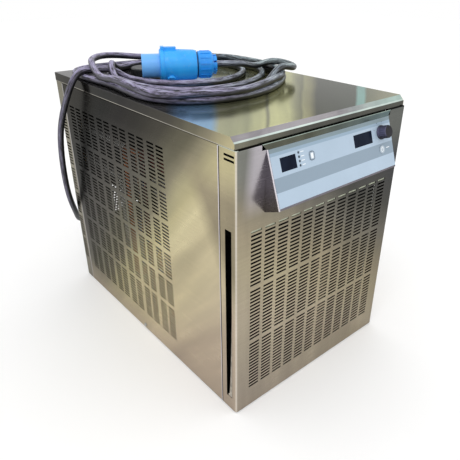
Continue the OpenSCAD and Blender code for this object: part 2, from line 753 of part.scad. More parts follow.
module fan_blades() {
    blade_n = 5;
    hub_r = 30;
    hub_h = 22;
    color("#26282b") translate([0, fan_y, fan_z]) rotate([-90, 0, 0]) {
        difference() {
            cylinder(r = hub_r, h = hub_h, $fn = 64);
            translate([0, 0, 3]) cylinder(r = hub_r - 3, h = hub_h, $fn = 64);
        }
        cylinder(r = 4, h = motor_y - fan_y + 2 + motor_len - 10, $fn = 32);
        for (k = [0 : blade_n - 1]) rotate(k * 360 / blade_n) intersection() {
            translate([0, 0, -6]) difference() {
                cylinder(r = fan_d / 2, h = hub_h + 8, $fn = 96);
                translate([0, 0, -1]) cylinder(r = hub_r - 0.5, h = hub_h + 10, $fn = 64);
            }
            translate([0, 0, hub_h / 2 - 2]) rotate([26, 0, 0]) translate([hub_r - 6, -38, -1])
                cube([fan_d / 2, 76, 2]);
        }
    }
}

// Compressor and refrigerant circuit
foot_x = 62;
module compressor_shell() {
    seam = comp_h / 2;
    color("#232427") translate([comp_x, comp_y, comp_z]) {
        rotate_extrude($fn = 96) polygon([[0, 0], [comp_r - 26, 0], [comp_r - 8, 8], [comp_r, 24], [comp_r, seam - 4],
            [comp_r + 3, seam - 4], [comp_r + 3, seam + 4], [comp_r, seam + 4], [comp_r, comp_h - 46],
            [comp_r - 6, comp_h - 24], [comp_r - 22, comp_h - 8], [comp_r - 44, comp_h], [0, comp_h]]);
        translate([0, 0, -3]) linear_extrude(3) difference() {
            rounded(2 * foot_x + 28, 2 * foot_x + 28, 14);
            for (x = [-1, 1], y = [-1, 1]) translate([x * foot_x, y * foot_x]) circle(r = 5 + slip, $fn = 32);
        }
    }
}
module compressor_grommets() {
    grommet_h = comp_z - 3 - pan_t;
    color(black) translate([comp_x, comp_y, pan_t]) for (x = [-1, 1], y = [-1, 1])
        translate([x * foot_x, y * foot_x, 0]) rotate_extrude($fn = 32) polygon([[0, 0], [11, 0], [11, grommet_h * 0.4],
            [8.5, grommet_h * 0.5], [11, grommet_h * 0.6], [11, grommet_h], [5, grommet_h], [5, grommet_h + 3],
            [8, grommet_h + 3], [8, grommet_h + 6], [0, grommet_h + 6]]);
}
module terminal_cover() {
    color(black) translate([comp_x, comp_y, comp_z + comp_h / 2 + 5]) difference() {
        translate([0, -22, 0]) cube([comp_r + 15, 44, 40]);
        translate([0, 0, -1]) cylinder(r = comp_r + 0.1, h = 50, $fn = 96);
    }
}
evap_x = 84 - half_w;
evap_y = -22;
evap_z = 125;
evap_h = case_h - 271.6;
evap_plates = 12;
module evaporator() {
    plate_step = 5;
    color("#a8adb0") {
        translate([evap_x - 30, evap_y, evap_z]) for (k = [0 : evap_plates - 1]) translate([k * plate_step, 0, 0]) {
            sideways(plate_step - 1.6) translate([0, evap_h / 2]) rounded(75, evap_h, 12);
            sideways(plate_step) translate([0, evap_h / 2]) rounded(72, evap_h - 3, 11);
        }
        translate([evap_x, evap_y - 18, evap_z + evap_h - 4]) cylinder(r = 11, h = 12, $fn = 32);
        translate([evap_x, evap_y - 18, evap_z - 8]) cylinder(r = 8, h = 12, $fn = 32);
        for (z = [evap_z + 35, evap_z + evap_h - 35]) translate([evap_x, evap_y + 30, z]) rotate([-90, 0, 0])
            cylinder(r = 11, h = 18, $fn = 32);
    }
}
drier_y = -130;
drier_z = 100;
drier_h = 120;
module filter_drier() {
    translate([-line_x, drier_y, drier_z]) rotate_extrude($fn = 48) polygon([[0, 0], [6.5, 0], [6.5, 10],
        [18, 24], [18, drier_h - 24], [6.5, drier_h - 10], [6.5, drier_h], [0, drier_h]]);
}
valve_z = evap_z - 44;
module expansion_valve() {
    color("#b9963e") translate([evap_x, evap_y - 18, valve_z]) {
        cylinder(r = 9, h = 36, $fn = 6);
        translate([0, 0, 18]) rotate([90, 0, 0]) cylinder(r = 7, h = 20, $fn = 32);
        translate([0, -20, 18]) rotate([90, 0, 0]) cylinder(r = 15, h = 9, $fn = 48);
    }
}
suction_r = 7.9;
riser_x = 20 - half_w;
module suction_line() {
    top = evap_z + evap_h + 8;
    port_y = evap_y - 18;
    low_z = 105;
    run_y = 52;
    turn_x = comp_x - 109;
    color(copper) bent_tube([[evap_x, port_y, top], [evap_x, port_y, top + 40], [riser_x, port_y, top + 40],
        [riser_x, run_y, top + 40], [riser_x, run_y, low_z], [turn_x, run_y, low_z], [turn_x, comp_y, low_z],
        [comp_x - comp_r, comp_y, low_z]], suction_r, 16);
}
module discharge_line() {
    run_y = -106;
    stub_z = 150;
    color(copper) bent_tube([[comp_x, comp_y - comp_r, stub_z], [comp_x, run_y, stub_z], [comp_x, run_y, line_in_z],
        [-line_x, run_y, line_in_z], [-line_x, duct_y1 - 14, line_in_z]], tube_r, 14);
}
module liquid_line() {
    high_z = drier_z + drier_h + 42;
    back_y = -84;
    port_y = evap_y - 18;
    color(copper) {
        filter_drier();
        bent_tube([[-line_x, duct_y1 - 14, line_out_z], [-line_x, drier_y, line_out_z], [-line_x, drier_y, drier_z]],
            tube_r, 14);
        bent_tube([[-line_x, drier_y, drier_z + drier_h], [-line_x, drier_y, high_z], [-line_x, back_y, high_z],
            [-line_x, back_y, line_out_z], [-line_x, port_y, line_out_z], [evap_x, port_y, line_out_z],
            [evap_x, port_y, valve_z]], tube_r, 14);
    }
}

// Reservoir with its foam, stand, neck and cap
module reservoir_tank() {
    color("#c9ccce") difference() {
        translate([tank_x, tank_y, tank_z]) cube([tank_w, tank_w, tank_h]);
        translate([tank_x + tank_t, tank_y + tank_t, tank_z + tank_t])
            cube([tank_w - 2 * tank_t, tank_w - 2 * tank_t, tank_h]);
        translate([drain_x, drain_y, tank_z - 1]) cylinder(r = 4.5, h = 10, $fn = 32);
        for (x = [pump_x, evap_x]) translate([x, tank_y - 1, tank_z + 14]) rotate([-90, 0, 0])
            cylinder(r = 5, h = 10, $fn = 32);
    }
}
neck_top = case_h + 9;
module reservoir_cover() {
    cover_z = tank_z + tank_h;
    color("#c9ccce") difference() {
        union() {
            translate([tank_x, tank_y, cover_z]) cube([tank_w, tank_w, sheet]);
            translate([neck_x, neck_y, cover_z]) cylinder(r = neck_r, h = neck_top - cover_z, $fn = 64);
        }
        translate([neck_x, neck_y, cover_z - 1]) cylinder(r = neck_r - 1.5, h = neck_top, $fn = 64);
    }
}
module tank_foam() {
    color(black) difference() {
        translate([tank_x - foam_t, tank_y - foam_t, tank_z - foam_t])
            cube([tank_w + 2 * foam_t, tank_w + 2 * foam_t, tank_h + foam_t]);
        translate([tank_x - 0.1, tank_y - 0.1, tank_z]) cube([tank_w + 0.2, tank_w + 0.2, tank_h + 1]);
        translate([drain_x, drain_y, tank_z - foam_t - 1]) cylinder(r = 10, h = foam_t + 5, $fn = 32);
        for (x = [pump_x, evap_x]) translate([x, tank_y - foam_t - 1, tank_z + 14]) rotate([-90, 0, 0])
            cylinder(r = 11, h = foam_t + 5, $fn = 32);
    }
}
stand_t = 2;
module tank_stand() {
    top = tank_z - foam_t;
    leg = 16;
    color(zinc) difference() {
        union() {
            translate([tank_x - foam_t, tank_y - foam_t, top - stand_t])
                cube([tank_w + 2 * foam_t, tank_w + 2 * foam_t, stand_t]);
            for (x = [0, 1], y = [0, 1]) translate([tank_x - foam_t + x * (tank_w + 2 * foam_t - leg),
                tank_y - foam_t + y * (tank_w + 2 * foam_t - leg), pan_t]) difference() {
                    cube([leg, leg, top - stand_t - pan_t]);
                    translate([x == 0 ? stand_t : -stand_t, y == 0 ? stand_t : -stand_t, -1])
                        cube([leg, leg, top + 10]);
            }
        }
        translate([drain_x, drain_y, top - stand_t - 1]) cylinder(r = 10, h = stand_t + 2, $fn = 32);
    }
}
cap_r = neck_r + 7;
cap_h = 14;
module filler_cap() {
    grips = 24;
    socket = neck_top - case_h - clearance + 0.2;
    color(black) translate([neck_x, neck_y, case_h + clearance]) difference() {
        rotate_extrude($fn = 96) polygon([[neck_r + slip, 0], [cap_r, 0], [cap_r, cap_h - 2], [cap_r - 2, cap_h], [0, cap_h],
            [0, socket], [neck_r + slip, socket]]);
        for (k = [0 : grips - 1]) rotate(k * 360 / grips) translate([cap_r + 0.9, 0, -1])
            cylinder(r = 1.6, h = cap_h + 2, $fn = 16);
    }
}

// Pump: motor, head with its chamber, and the turning shaft with the impeller
pump_box_x = pump_x - 58;
module pump_motor() {
    fins = 24;
    color("#3f5f86") translate([pump_x, pump_y, pump_z]) rotate([-90, 0, 0]) difference() {
        union() {
            cylinder(r = pump_r - 3, h = pump_len, $fn = 64);
            for (k = [0 : fins - 1]) rotate(k * 360 / fins) translate([0, -0.8, 10])
                cube([pump_r, 1.6, pump_len - 30]);
            cylinder(r = pump_r, h = 8, $fn = 64);
            translate([pump_box_x - pump_x, -18, 30]) cube([30, 32, 40]);
        }
        translate([0, 0, -1]) cylinder(r = pump_shaft_r + slip, h = pump_len - 10, $fn = 48);
    }
}
chamber_r = head_r - 7;
module pump_head() {
    color("#b08d3c") translate([pump_x, pump_y, pump_z]) rotate([90, 0, 0]) difference() {
        union() {
            cylinder(r = head_r, h = head_d, $fn = 64);
            translate([0, 0, head_d]) cylinder(r = 11, h = 8, $fn = 32);
            translate([0, 0, head_d / 2]) rotate([-90, 0, 0]) cylinder(r = 11, h = head_r + 8, $fn = 32);
        }
        translate([0, 0, 10]) cylinder(r = chamber_r, h = head_d - 18, $fn = 64);
        translate([0, 0, -1]) cylinder(r = pump_shaft_r + slip, h = 20, $fn = 48);
        translate([0, 0, head_d - 10]) cylinder(r = 6, h = 20, $fn = 32);
        translate([0, 0, head_d / 2]) rotate([-90, 0, 0]) cylinder(r = 6, h = head_r + 10, $fn = 32);
    }
}
module pump_rotor() {
    vanes = 6;
    color("#d0d2d4") translate([pump_x, pump_y, pump_z]) rotate([90, 0, 0]) {
        translate([0, 0, -pump_len + 12]) cylinder(r = pump_shaft_r, h = pump_len + 12, $fn = 48);
        translate([0, 0, 13]) cylinder(r = chamber_r - 3, h = 3, $fn = 64);
        for (k = [0 : vanes - 1]) rotate(k * 360 / vanes) translate([pump_shaft_r - 1, -1, 15])
            cube([chamber_r - pump_shaft_r - 3, 2, 11]);
    }
}
module pump_cradle() {
    color(zinc) difference() {
        union() {
            translate([pump_x - 46, pump_y + 12, pan_t]) cube([92, pump_len - 30, 3]);
            for (y = [pump_y + 12, pump_y + pump_len - 24]) translate([pump_x - 46, y, pan_t]) cube([92, 6, 34]);
        }
        translate([pump_x, pump_y, pump_z]) rotate([-90, 0, 0]) cylinder(r = pump_r + 0.2, h = pump_len, $fn = 64);
    }
}

// Water hoses and wires inside the casing
hose_r = 9;
hose_bend = 20;
small_hose_r = 7;
module water_hoses() {
    rear_end = rear_y - sheet - 14;
    head_y = pump_y - head_d / 2;
    cross_z = 150;
    port_y = evap_y + 48;
    port_z = evap_z + evap_h - 35;
    run_y = round(tank_y - foam_t - hose_r - 4);
    tank_port_z = tank_z + 14;
    color("#c7c9c6") {
        bent_tube([[pump_x, head_y, pump_z + head_r + 8], [pump_x, head_y, cross_z], [fitting_x, head_y, cross_z],
            [fitting_x, head_y, outlet_z], [fitting_x, rear_end, outlet_z]], hose_r, hose_bend);
        bent_tube([[fitting_x, rear_end, inlet_z], [fitting_x, run_y, inlet_z], [fitting_x, run_y, port_z],
            [evap_x, run_y, port_z], [evap_x, port_y, port_z]], hose_r, hose_bend);
        bent_tube([[pump_x, tank_y, tank_port_z], [pump_x, tank_y - 66, tank_port_z], [pump_x, tank_y - 66, pump_z],
            [pump_x, pump_y - head_d - 8, pump_z]], small_hose_r, hose_bend);
        bent_tube([[evap_x, port_y, evap_z + 35], [evap_x, tank_y - 32, evap_z + 35], [evap_x, tank_y - 32, tank_port_z],
            [evap_x, tank_y, tank_port_z]], small_hose_r, 14);
        bent_tube([[drain_x, drain_y, tank_z], [drain_x, drain_y, drain_z], [drain_x, rear_y - sheet - 16, drain_z]], 6, 14);
    }
}
wire_x = 6 - half_w;
wire_r = 1.5;
module wiring_loom() {
    color("#a33a2c") for (k = [0 : 3]) {
        start_y = -136 + 4 * k;
        drop_y = -34 + 8 * k;
        high_z = box_z0 + 25 + 6 * k;
        low_z = 56 + 6 * k;
        end_y = 166 + 8 * k;
        bent_tube([[box_x0, start_y, high_z], [wire_x, start_y, high_z], [wire_x, drop_y, high_z],
            [wire_x, drop_y, low_z], [wire_x, end_y, low_z], [pump_box_x, end_y, low_z]], wire_r, 10);
    }
}
box_x0 = 66 - half_w;
box_x1 = half_w - 34;
box_z0 = duct_z1 + 6;
module electrical_box() {
    box_y0 = duct_y0 + 8;
    box_d = 112;
    box_h = 92;
    color(zinc) {
        difference() {
            translate([box_x0, box_y0, box_z0]) cube([box_x1 - box_x0, box_d, box_h]);
            translate([box_x0 + sheet, box_y0 - 1, box_z0 + sheet])
                cube([box_x1 - box_x0 - 2 * sheet, box_d - sheet + 1, box_h]);
        }
        for (x = [box_x0, box_x1 - 10]) translate([x, box_y0, duct_z1]) cube([10, duct_d - 12, 6]);
        translate([box_x0 + 28, box_y0 + 30, box_z0 + sheet]) cube([56, 60, 50]);
        translate([(box_x0 + box_x1) / 2 + 4, box_y0 + 40, box_z0 + sheet]) cube([44, 52, 60]);
        translate([box_x1 - 50, box_y0 + 60, box_z0 + sheet]) cylinder(r = 20, h = 70, $fn = 48);
    }
}

// Rear fittings
fitting_neck = 13;
module process_fittings() {
    color("#b9963e") for (z = [inlet_z, outlet_z]) translate([fitting_x, rear_y, z]) rotate([-90, 0, 0]) difference() {
        union() {
            translate([0, 0, -14 - sheet]) cylinder(r = fitting_neck, h = 14 + sheet + fitting_reach, $fn = 48);
            cylinder(r = 18, h = 12, $fn = 6);
            translate([0, 0, -sheet - 5]) cylinder(r = 18, h = 5, $fn = 6);
            translate([0, 0, fitting_reach - 4]) cylinder(r = fitting_neck + 1.5, h = 4, $fn = 48);
        }
        translate([0, 0, fitting_reach - 20]) cylinder(r = fitting_r, h = 30, $fn = 48);
        translate([0, 0, -20 - sheet]) cylinder(r = 6, h = 60, $fn = 32);
    }
}
drain_neck = 9;
stem_y = rear_y + 14;
module drain_valve() {
    color("#b9963e") translate([drain_x, rear_y, drain_z]) {
        rotate([-90, 0, 0]) difference() {
            union() {
                translate([0, 0, -16 - sheet]) cylinder(r = drain_neck, h = 16 + sheet + fitting_reach, $fn = 48);
                cylinder(r = 13, h = 6, $fn = 6);
                translate([0, 0, -sheet - 4]) cylinder(r = 13, h = 4, $fn = 6);
                translate([0, 0, fitting_reach - 5]) cylinder(r = 12, h = 5, $fn = 6);
            }
            translate([0, 0, -20 - sheet]) cylinder(r = 5, h = 60, $fn = 32);
        }
        translate([0, stem_y - rear_y, 0]) difference() {
            cylinder(r = 5.5, h = 15, $fn = 32);
            translate([0, 0, 9]) cylinder(r = 2.5 + slip, h = 10, $fn = 32);
            rotate([90, 0, 0]) cylinder(r = 5, h = 40, center = true, $fn = 32);
        }
    }
}
module drain_lever() {
    color("#b3261e") translate([drain_x, stem_y, drain_z]) {
        translate([0, 0, 9.2]) cylinder(r = 2.5, h = 8.8, $fn = 32);
        translate([0, 0, 15.3]) {
            cylinder(r = 6, h = 3, $fn = 32);
            translate([0, -4.5, 0]) cube([42, 9, 3]);
            translate([42, 0, 0]) cylinder(r = 4.5, h = 3, $fn = 32);
        }
    }
}
breaker_w = 24;
breaker_h = 40;
rocker_w = 17;
rocker_h = 29;
module main_breaker() {
    color(black) translate([breaker_x, rear_y, breaker_z]) difference() {
        union() {
            translate([-breaker_w / 2 + 0.1, -40, -breaker_h / 2 + 0.1]) cube([breaker_w - 0.2, 40, breaker_h - 0.2]);
            translate([-breaker_w / 2 - 2, 0, -breaker_h / 2 - 2]) cube([breaker_w + 4, 2, breaker_h + 4]);
        }
        translate([-rocker_w / 2 - 0.4, -12, -rocker_h / 2 - 2]) cube([rocker_w + 0.8, 20, rocker_h + 4]);
    }
}
rocker_pin_y = -4;
module breaker_rocker() {
    hub_r = 5;
    color(black) translate([breaker_x - rocker_w / 2, rear_y, breaker_z]) {
        sideways(rocker_w) polygon([[rocker_pin_y - 4, -2], [-2, -rocker_h / 2 + 1.2], [2.2, -rocker_h / 2 + 1.2],
            [4.4, 0], [6.8, rocker_h / 2 - 1.2], [2.6, rocker_h / 2 - 1.2], [rocker_pin_y - 4, 2]]);
        translate([0, rocker_pin_y, 0]) rotate([0, 90, 0]) cylinder(r = hub_r, h = rocker_w, $fn = 48);
    }
}
gland_neck = 10;
module cable_gland() {
    color(black) translate([gland_x, rear_y, gland_z]) rotate([-90, 0, 0]) difference() {
        union() {
            translate([0, 0, -12 - sheet]) cylinder(r = gland_neck, h = 20, $fn = 48);
            translate([0, 0, -sheet - 5]) cylinder(r = 14, h = 5, $fn = 6);
            cylinder(r = 14, h = 8, $fn = 6);
            translate([0, 0, 8]) cylinder(r1 = 13, r2 = 9, h = gland_len - 8, $fn = 48);
        }
        translate([0, 0, -20]) cylinder(r = lead_d / 2 + 0.2, h = gland_len + 20 - 6, $fn = 48);
        translate([0, 0, gland_len - 6.5]) cylinder(r = lead_d / 2, h = 10, $fn = 48);
    }
}

// Supply lead, its coil on the lid, and the plug
module supply_lead() {
    color(black) cord_tube(lead_route, lead_d / 2, 1, 10);
}
module supply_tail() {
    color(black) cord_tube(tail_route, lead_d / 2, 1, 10);
}
module coil_outline(r) {
    for (y = [-1, 1]) translate([0, y * coil_straight / 2]) circle(r = r, $fn = 128);
    translate([-r, -coil_straight / 2]) square([2 * r, coil_straight]);
}
module supply_coil() {
    color(black) translate([coil_x, coil_y, case_h + 0.1]) linear_extrude(coil_h) difference() {
        coil_outline(coil_r);
        coil_outline(coil_r - coil_band);
    }
}

module at_plug() {
    translate([plug_x, plug_y, plug_z]) rotate([0, 0, plug_turn]) rotate([0, 90, 0]) children();
}
plug_face = 38;
plug_nut_z = 99;
pin_ring = 9.5;
module plug_shell() {
    rs = plug_sleeve_d / 2;
    rf = plug_flange_d / 2;
    color(blue) at_plug() difference() {
        union() {
            rotate_extrude($fn = 96) polygon([[0, plug_face], [rs - 2, plug_face], [rs - 2, 0], [rs, 0], [rs, 31],
                [rf - 1, 32], [rf, 33], [rf, 38], [rf - 1.6, 40], [rf - 1, 46], [rf - 1, 62], [rf - 2.6, 92],
                [rf - 4, plug_nut_z - 2], [20, plug_nut_z - 2], [20, plug_nut_z + 11], [0, plug_nut_z + 11]]);
            translate([-rf - 4, -8, 34]) cube([9, 16, 6]);
            translate([-rf - 3, -6.5, 34]) cube([9, 13, 27]);
            rotate([0, 0, -45]) translate([0, 0, 50]) rotate([0, 90, 0]) cylinder(r = 7.5, h = rf + 2.5, $fn = 48);
        }
        for (k = [0 : 2]) rotate(k * 120) translate([pin_ring, 0, plug_face - 1])
            cylinder(r = 2.5 + slip, h = 12, $fn = 32);
        translate([0, 0, plug_nut_z - 20]) cylinder(r = lead_d / 2, h = 40, $fn = 48);
    }
}
module plug_pins() {
    color("#c9b27a") at_plug() for (k = [0 : 2]) rotate(k * 120) translate([pin_ring, 0, 4])
        cylinder(r = 2.5, h = plug_face + 6, $fn = 32);
}
module plug_nut() {
    ribs = 14;
    nut_r = 23.2;
    nut_len = 27;
    color(blue) at_plug() translate([0, 0, plug_nut_z]) difference() {
        union() {
            rotate_extrude($fn = 96) polygon([[lead_d / 2, 14], [20 + slip, 14], [20 + slip, 0], [nut_r - 1, 0],
                [nut_r, 1], [nut_r, nut_len - 3], [nut_r - 3, nut_len], [17, nut_len], [17, plug_len - plug_nut_z],
                [lead_d / 2, plug_len - plug_nut_z]]);
            for (k = [0 : ribs - 1]) rotate(k * 360 / ribs) translate([nut_r - 3, -1.1, 4])
                cube([4, 2.2, nut_len - 9]);
        }
        for (k = [0 : 3]) rotate(k * 45 + 20) translate([-20, -1.5, nut_len + 1]) cube([40, 3, 10]);
    }
}

base_pan();
frame_posts();
front_panel();
left_side_panel();
right_side_panel();
rear_panel();
top_lid();
panel_screws();
console_housing();
console_overlay();
left_display();
right_display();
status_leds();
select_key();
power_key();
control_board();
encoder_body();
control_knob();
knob_shaft();
filter_frame();
filter_foam();
filter_guides();
condenser_duct();
condenser_fins();
condenser_tubes();
fan_shroud();
fan_motor();
fan_blades();
compressor_shell();
compressor_grommets();
terminal_cover();
evaporator();
expansion_valve();
suction_line();
discharge_line();
liquid_line();
reservoir_tank();
reservoir_cover();
tank_foam();
tank_stand();
filler_cap();
pump_motor();
pump_head();
pump_rotor();
pump_cradle();
water_hoses();
wiring_loom();
electrical_box();
process_fittings();
drain_valve();
drain_lever();
main_breaker();
breaker_rocker();
cable_gland();
supply_lead();
supply_coil();
supply_tail();
plug_shell();
plug_nut();
plug_pins();
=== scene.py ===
"""Looks of a recirculating chiller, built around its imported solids. Metres, +Z up, front at -Y."""
import math

import bmesh
import bpy
import numpy as np
from mathutils import Matrix, Vector


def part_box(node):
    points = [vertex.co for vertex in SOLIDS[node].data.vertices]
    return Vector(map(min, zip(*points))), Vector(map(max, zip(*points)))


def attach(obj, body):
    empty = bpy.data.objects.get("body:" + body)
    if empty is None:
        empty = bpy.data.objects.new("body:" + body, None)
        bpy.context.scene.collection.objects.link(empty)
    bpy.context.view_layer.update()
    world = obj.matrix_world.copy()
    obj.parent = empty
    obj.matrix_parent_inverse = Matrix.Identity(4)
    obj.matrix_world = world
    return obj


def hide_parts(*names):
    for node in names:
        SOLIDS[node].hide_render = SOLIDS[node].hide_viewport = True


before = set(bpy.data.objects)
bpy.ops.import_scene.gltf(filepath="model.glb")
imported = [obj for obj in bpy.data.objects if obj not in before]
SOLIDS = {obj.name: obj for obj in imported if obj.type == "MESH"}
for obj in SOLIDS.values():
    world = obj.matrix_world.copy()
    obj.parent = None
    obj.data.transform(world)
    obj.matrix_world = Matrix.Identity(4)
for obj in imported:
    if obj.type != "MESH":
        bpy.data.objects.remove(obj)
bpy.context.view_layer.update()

bl_info = {
    "name": "Recirculating chiller looks",
    "version": (1, 0, 0),
    "blender": (4, 5, 0),
    "location": "View3D > Sidebar > Chiller",
    "description": "Finishes, supply lead and small details of a stainless recirculating chiller",
    "category": "Object",
}

MM = 0.001
# The casing, its lid and the console, in millimetres
CASE_HALF = 184.0
CASE_BACK = 280.0
FRONT_Y = -280.0
LID_Z = 471.6
LID_BEND = 7.2
CONSOLE_TOP = 447.0
CONSOLE_DROP = 80.0
CONSOLE_REACH = 27.4
FACE_TILT = math.atan2(CONSOLE_REACH, CONSOLE_DROP)
FILTER_BODY = "air_filter"
ACROSS, BACK, UP = (1.0, 0.0, 0.0), (0.0, 1.0, 0.0), (0.0, 0.0, 1.0)
LEFT, FRONT = (-1.0, 0.0, 0.0), (0.0, -1.0, 0.0)
# Camera, solved from the casing's edges and slots: azimuth, elevation and roll in degrees, place in metres
CAMERA_TURN = (-41.093, 27.927, 0.513)
CAMERA_PLACE = (-0.5501, -0.7181, 0.6524)
CAMERA_LENS = 38.042
CAMERA_SHIFT = (-0.0327, -0.0044)
# Lamps: name, place, width in metres, power in watts
LAMPS = (("Key_lamp", (-1.3, -0.9, 2.6), 1.4, 12.0), ("Fill_lamp", (1.8, -1.9, 1.8), 1.8, 4.0))
LAMP_AIM = Vector((0, 0, 0.25))


# ---------------------------------------------------------------- materials

def linear(hex_colour):
    """Linear RGBA of an sRGB hex colour."""
    out = []
    for k in (1, 3, 5):
        c = int(hex_colour[k:k + 2], 16) / 255
        out.append(c / 12.92 if c <= 0.04045 else ((c + 0.055) / 1.055) ** 2.4)
    return (*out, 1.0)


def add(owner, kind, inputs=None, **settings):
    """Add one node to a material or world; an input, by name or number, is a value or another node's output."""
    made = owner.node_tree.nodes.new(kind)
    for key, value in settings.items():
        setattr(made, key, value)
    for key, value in (inputs or {}).items():
        if isinstance(value, bpy.types.NodeSocket):
            owner.node_tree.links.new(value, made.inputs[key])
        else:
            made.inputs[key].default_value = value
    return made


def finish_material(name, **shader):
    """A new material with its own shader node, and the object coordinates in metres."""
    mat = bpy.data.materials.new(name)
    mat.use_nodes = True
    surface = mat.node_tree.nodes["Principled BSDF"]
    for key, value in shader.items():
        surface.inputs[key.replace("_", " ")].default_value = value
    place = add(mat, "ShaderNodeTexCoord").outputs["Object"]
    return mat, surface, place


def join(mat, source, surface, socket):
    mat.node_tree.links.new(source, surface.inputs[socket])


def ramp(mat, factor, stops, interpolation="LINEAR"):
    """Colour ramp with stops of (place, hex colour)."""
    made = add(mat, "ShaderNodeValToRGB", {0: factor})
    band = made.color_ramp
    band.interpolation = interpolation
    while len(band.elements) < len(stops):
        band.elements.new(0.5)
    for element, (place, colour) in zip(band.elements, stops):
        element.position = place
        element.color = linear(colour)
    return made.outputs["Color"]


def levels(mat, value, low, high, out_low=0.0, out_high=1.0):
    return add(mat, "ShaderNodeMapRange", {"Value": value, "From Min": low, "From Max": high,
                                           "To Min": out_low, "To Max": out_high}).outputs["Result"]


def grain(mat, place, scale, detail=3.0, roughness=0.55):
    """Noise; its scale, in features per metre, is one number or one for each axis."""
    scale = scale if isinstance(scale, tuple) else (scale,) * 3
    stretched = add(mat, "ShaderNodeMapping", {"Vector": place, "Scale": scale}).outputs["Vector"]
    return add(mat, "ShaderNodeTexNoise", {"Vector": stretched, "Scale": 1.0, "Detail": detail,
                                           "Roughness": roughness}).outputs["Fac"]


def along(mat, place, direction, offset=0.0):
    """Distance of a point along a direction, in metres."""
    dot = add(mat, "ShaderNodeVectorMath", {0: place, 1: direction}, operation="DOT_PRODUCT").outputs["Value"]
    return add(mat, "ShaderNodeMath", {0: dot, 1: offset}, operation="ADD").outputs["Value"]


def mixed(mat, factor, a, b, mode="MIX"):
    """Colour a where the factor is 0, turning into b where it is 1."""
    inputs = {0: factor, 6: a, 7: b}
    return add(mat, "ShaderNodeMix", inputs, data_type="RGBA", blend_type=mode).outputs[2]


def bump(mat, height, surface, strength, distance):
    made = add(mat, "ShaderNodeBump", {"Height": height, "Strength": strength, "Distance": distance})
    join(mat, made.outputs["Normal"], surface, "Normal")


def math_node(mat, operation, a, b=0.0):
    return add(mat, "ShaderNodeMath", {0: a, 1: b}, operation=operation).outputs["Value"]


def times(mat, a, b):
    return math_node(mat, "MULTIPLY", a, b)


def axes(mat, place, *rows):
    """Coordinates along three directions; a row's length is the number of features per metre."""
    parts = [along(mat, place, row) for row in rows]
    return add(mat, "ShaderNodeCombineXYZ", {0: parts[0], 1: parts[1], 2: parts[2]}).outputs["Vector"]


def tone_run(mat, run, reach, stops, wander, place):
    """Colour that changes along a value, such as a distance in metres; the stops' places are in its units."""
    start, end = reach
    patches = levels(mat, grain(mat, place, (5, 5, 4), detail=2.0), 0.3, 0.7, -wander, wander)
    share = math_node(mat, "ADD", levels(mat, run, start, end), patches)
    return ramp(mat, share, [((at - start) / (end - start), colour) for at, colour in stops])


def glint(mat, run, start, end, colour, tone, amount):
    """A painted highlight on an edge that catches the light, or painted shade in a gap: the tone turns into the
    colour from start to end.
    """
    return mixed(mat, levels(mat, run, start, end, 0.0, amount), tone, linear(colour))


def size_of(mat, place, direction):
    """How far a point lies from the middle plane, on either side."""
    return math_node(mat, "ABSOLUTE", along(mat, place, direction))


# The casing's outer skin: its depth, and the distance of its bent corners from the middle, in metres
SKIN = 0.0006
CORNER_SKIN = 0.3258
DIAGONAL = 0.70711


def shaded_inside(mat, place, tone):
    """Painted shade on what lies behind the casing's outer skin: the cut edges of the slots and the sheet's back."""
    across, back = size_of(mat, place, ACROSS), size_of(mat, place, BACK)
    corner = times(mat, math_node(mat, "ADD", across, back), DIAGONAL)
    outside = math_node(mat, "MAXIMUM", math_node(mat, "SUBTRACT", across, CASE_HALF * MM - SKIN),
                        math_node(mat, "SUBTRACT", back, CASE_BACK * MM - SKIN))
    outside = math_node(mat, "MAXIMUM", outside, math_node(mat, "SUBTRACT", corner, CORNER_SKIN))
    return mixed(mat, levels(mat, outside, -0.0001, 0.0001), linear("#0f0f0f"), tone)


def stainless(name, metallic=1.0, rough=0.3):
    """A new material for the brushed sheet; its rim reflects darker than a plain mirror's."""
    return finish_material(name, Metallic=metallic, Roughness=rough, Specular_Tint=(0.62, 0.62, 0.61, 1.0))


def stainless_surface(mat, surface, place, tone, brush, smear, rough=(0.18, 0.3)):
    """Finish a stainless material: faint brush lines about 2 mm wide and broader smears over its tone."""
    lines = grain(mat, place, brush, detail=4.0, roughness=0.6)
    smears = grain(mat, smear, 1)
    tone = mixed(mat, 1.0, tone, ramp(mat, lines, [(0.3, "#f3f3f3"), (0.7, "#ffffff")]), "MULTIPLY")
    tone = mixed(mat, 1.0, tone, ramp(mat, smears, [(0.3, "#e2e2e4"), (0.7, "#ffffff")]), "MULTIPLY")
    join(mat, tone, surface, "Base Color")
    join(mat, levels(mat, math_node(mat, "ADD", lines, smears), 0.7, 1.3, *rough), surface, "Roughness")
    bump(mat, lines, surface, 0.03, 0.0002)
    return mat


# Painted reflections on the left side, by y + 0.94 z, in metres: straw sheen in front, smoky grey towards the top and
# rear
SIDE_RUN = (0.0, 1.0, 0.94)
SIDE_REACH = (-0.25, 0.65)
SIDE_REFLECTION_TONES = [(-0.25, "#c3b3a1"), (-0.1, "#cfbea8"), (-0.046, "#dccdaf"), (0.011, "#e6d8b2"), (0.067, "#d6c9a4"),
              (0.125, "#dcd1a8"), (0.16, "#cac096"), (0.19, "#b5ad8a"), (0.215, "#99927a"), (0.248, "#7d7966"),
              (0.308, "#66635a"), (0.375, "#57544f"), (0.438, "#484644"), (0.498, "#383837"), (0.65, "#37342f")]
# The painted reflection is smokier on the strip above the side's slots
SIDE_TOP_REFLECTION_TONES = [(0.16, "#cac096"), (0.215, "#958e76"), (0.248, "#716d5b"), (0.308, "#4d4a42"), (0.375, "#3b3935"),
                  (0.438, "#302e2d"), (0.498, "#262625"), (0.65, "#37342f")]
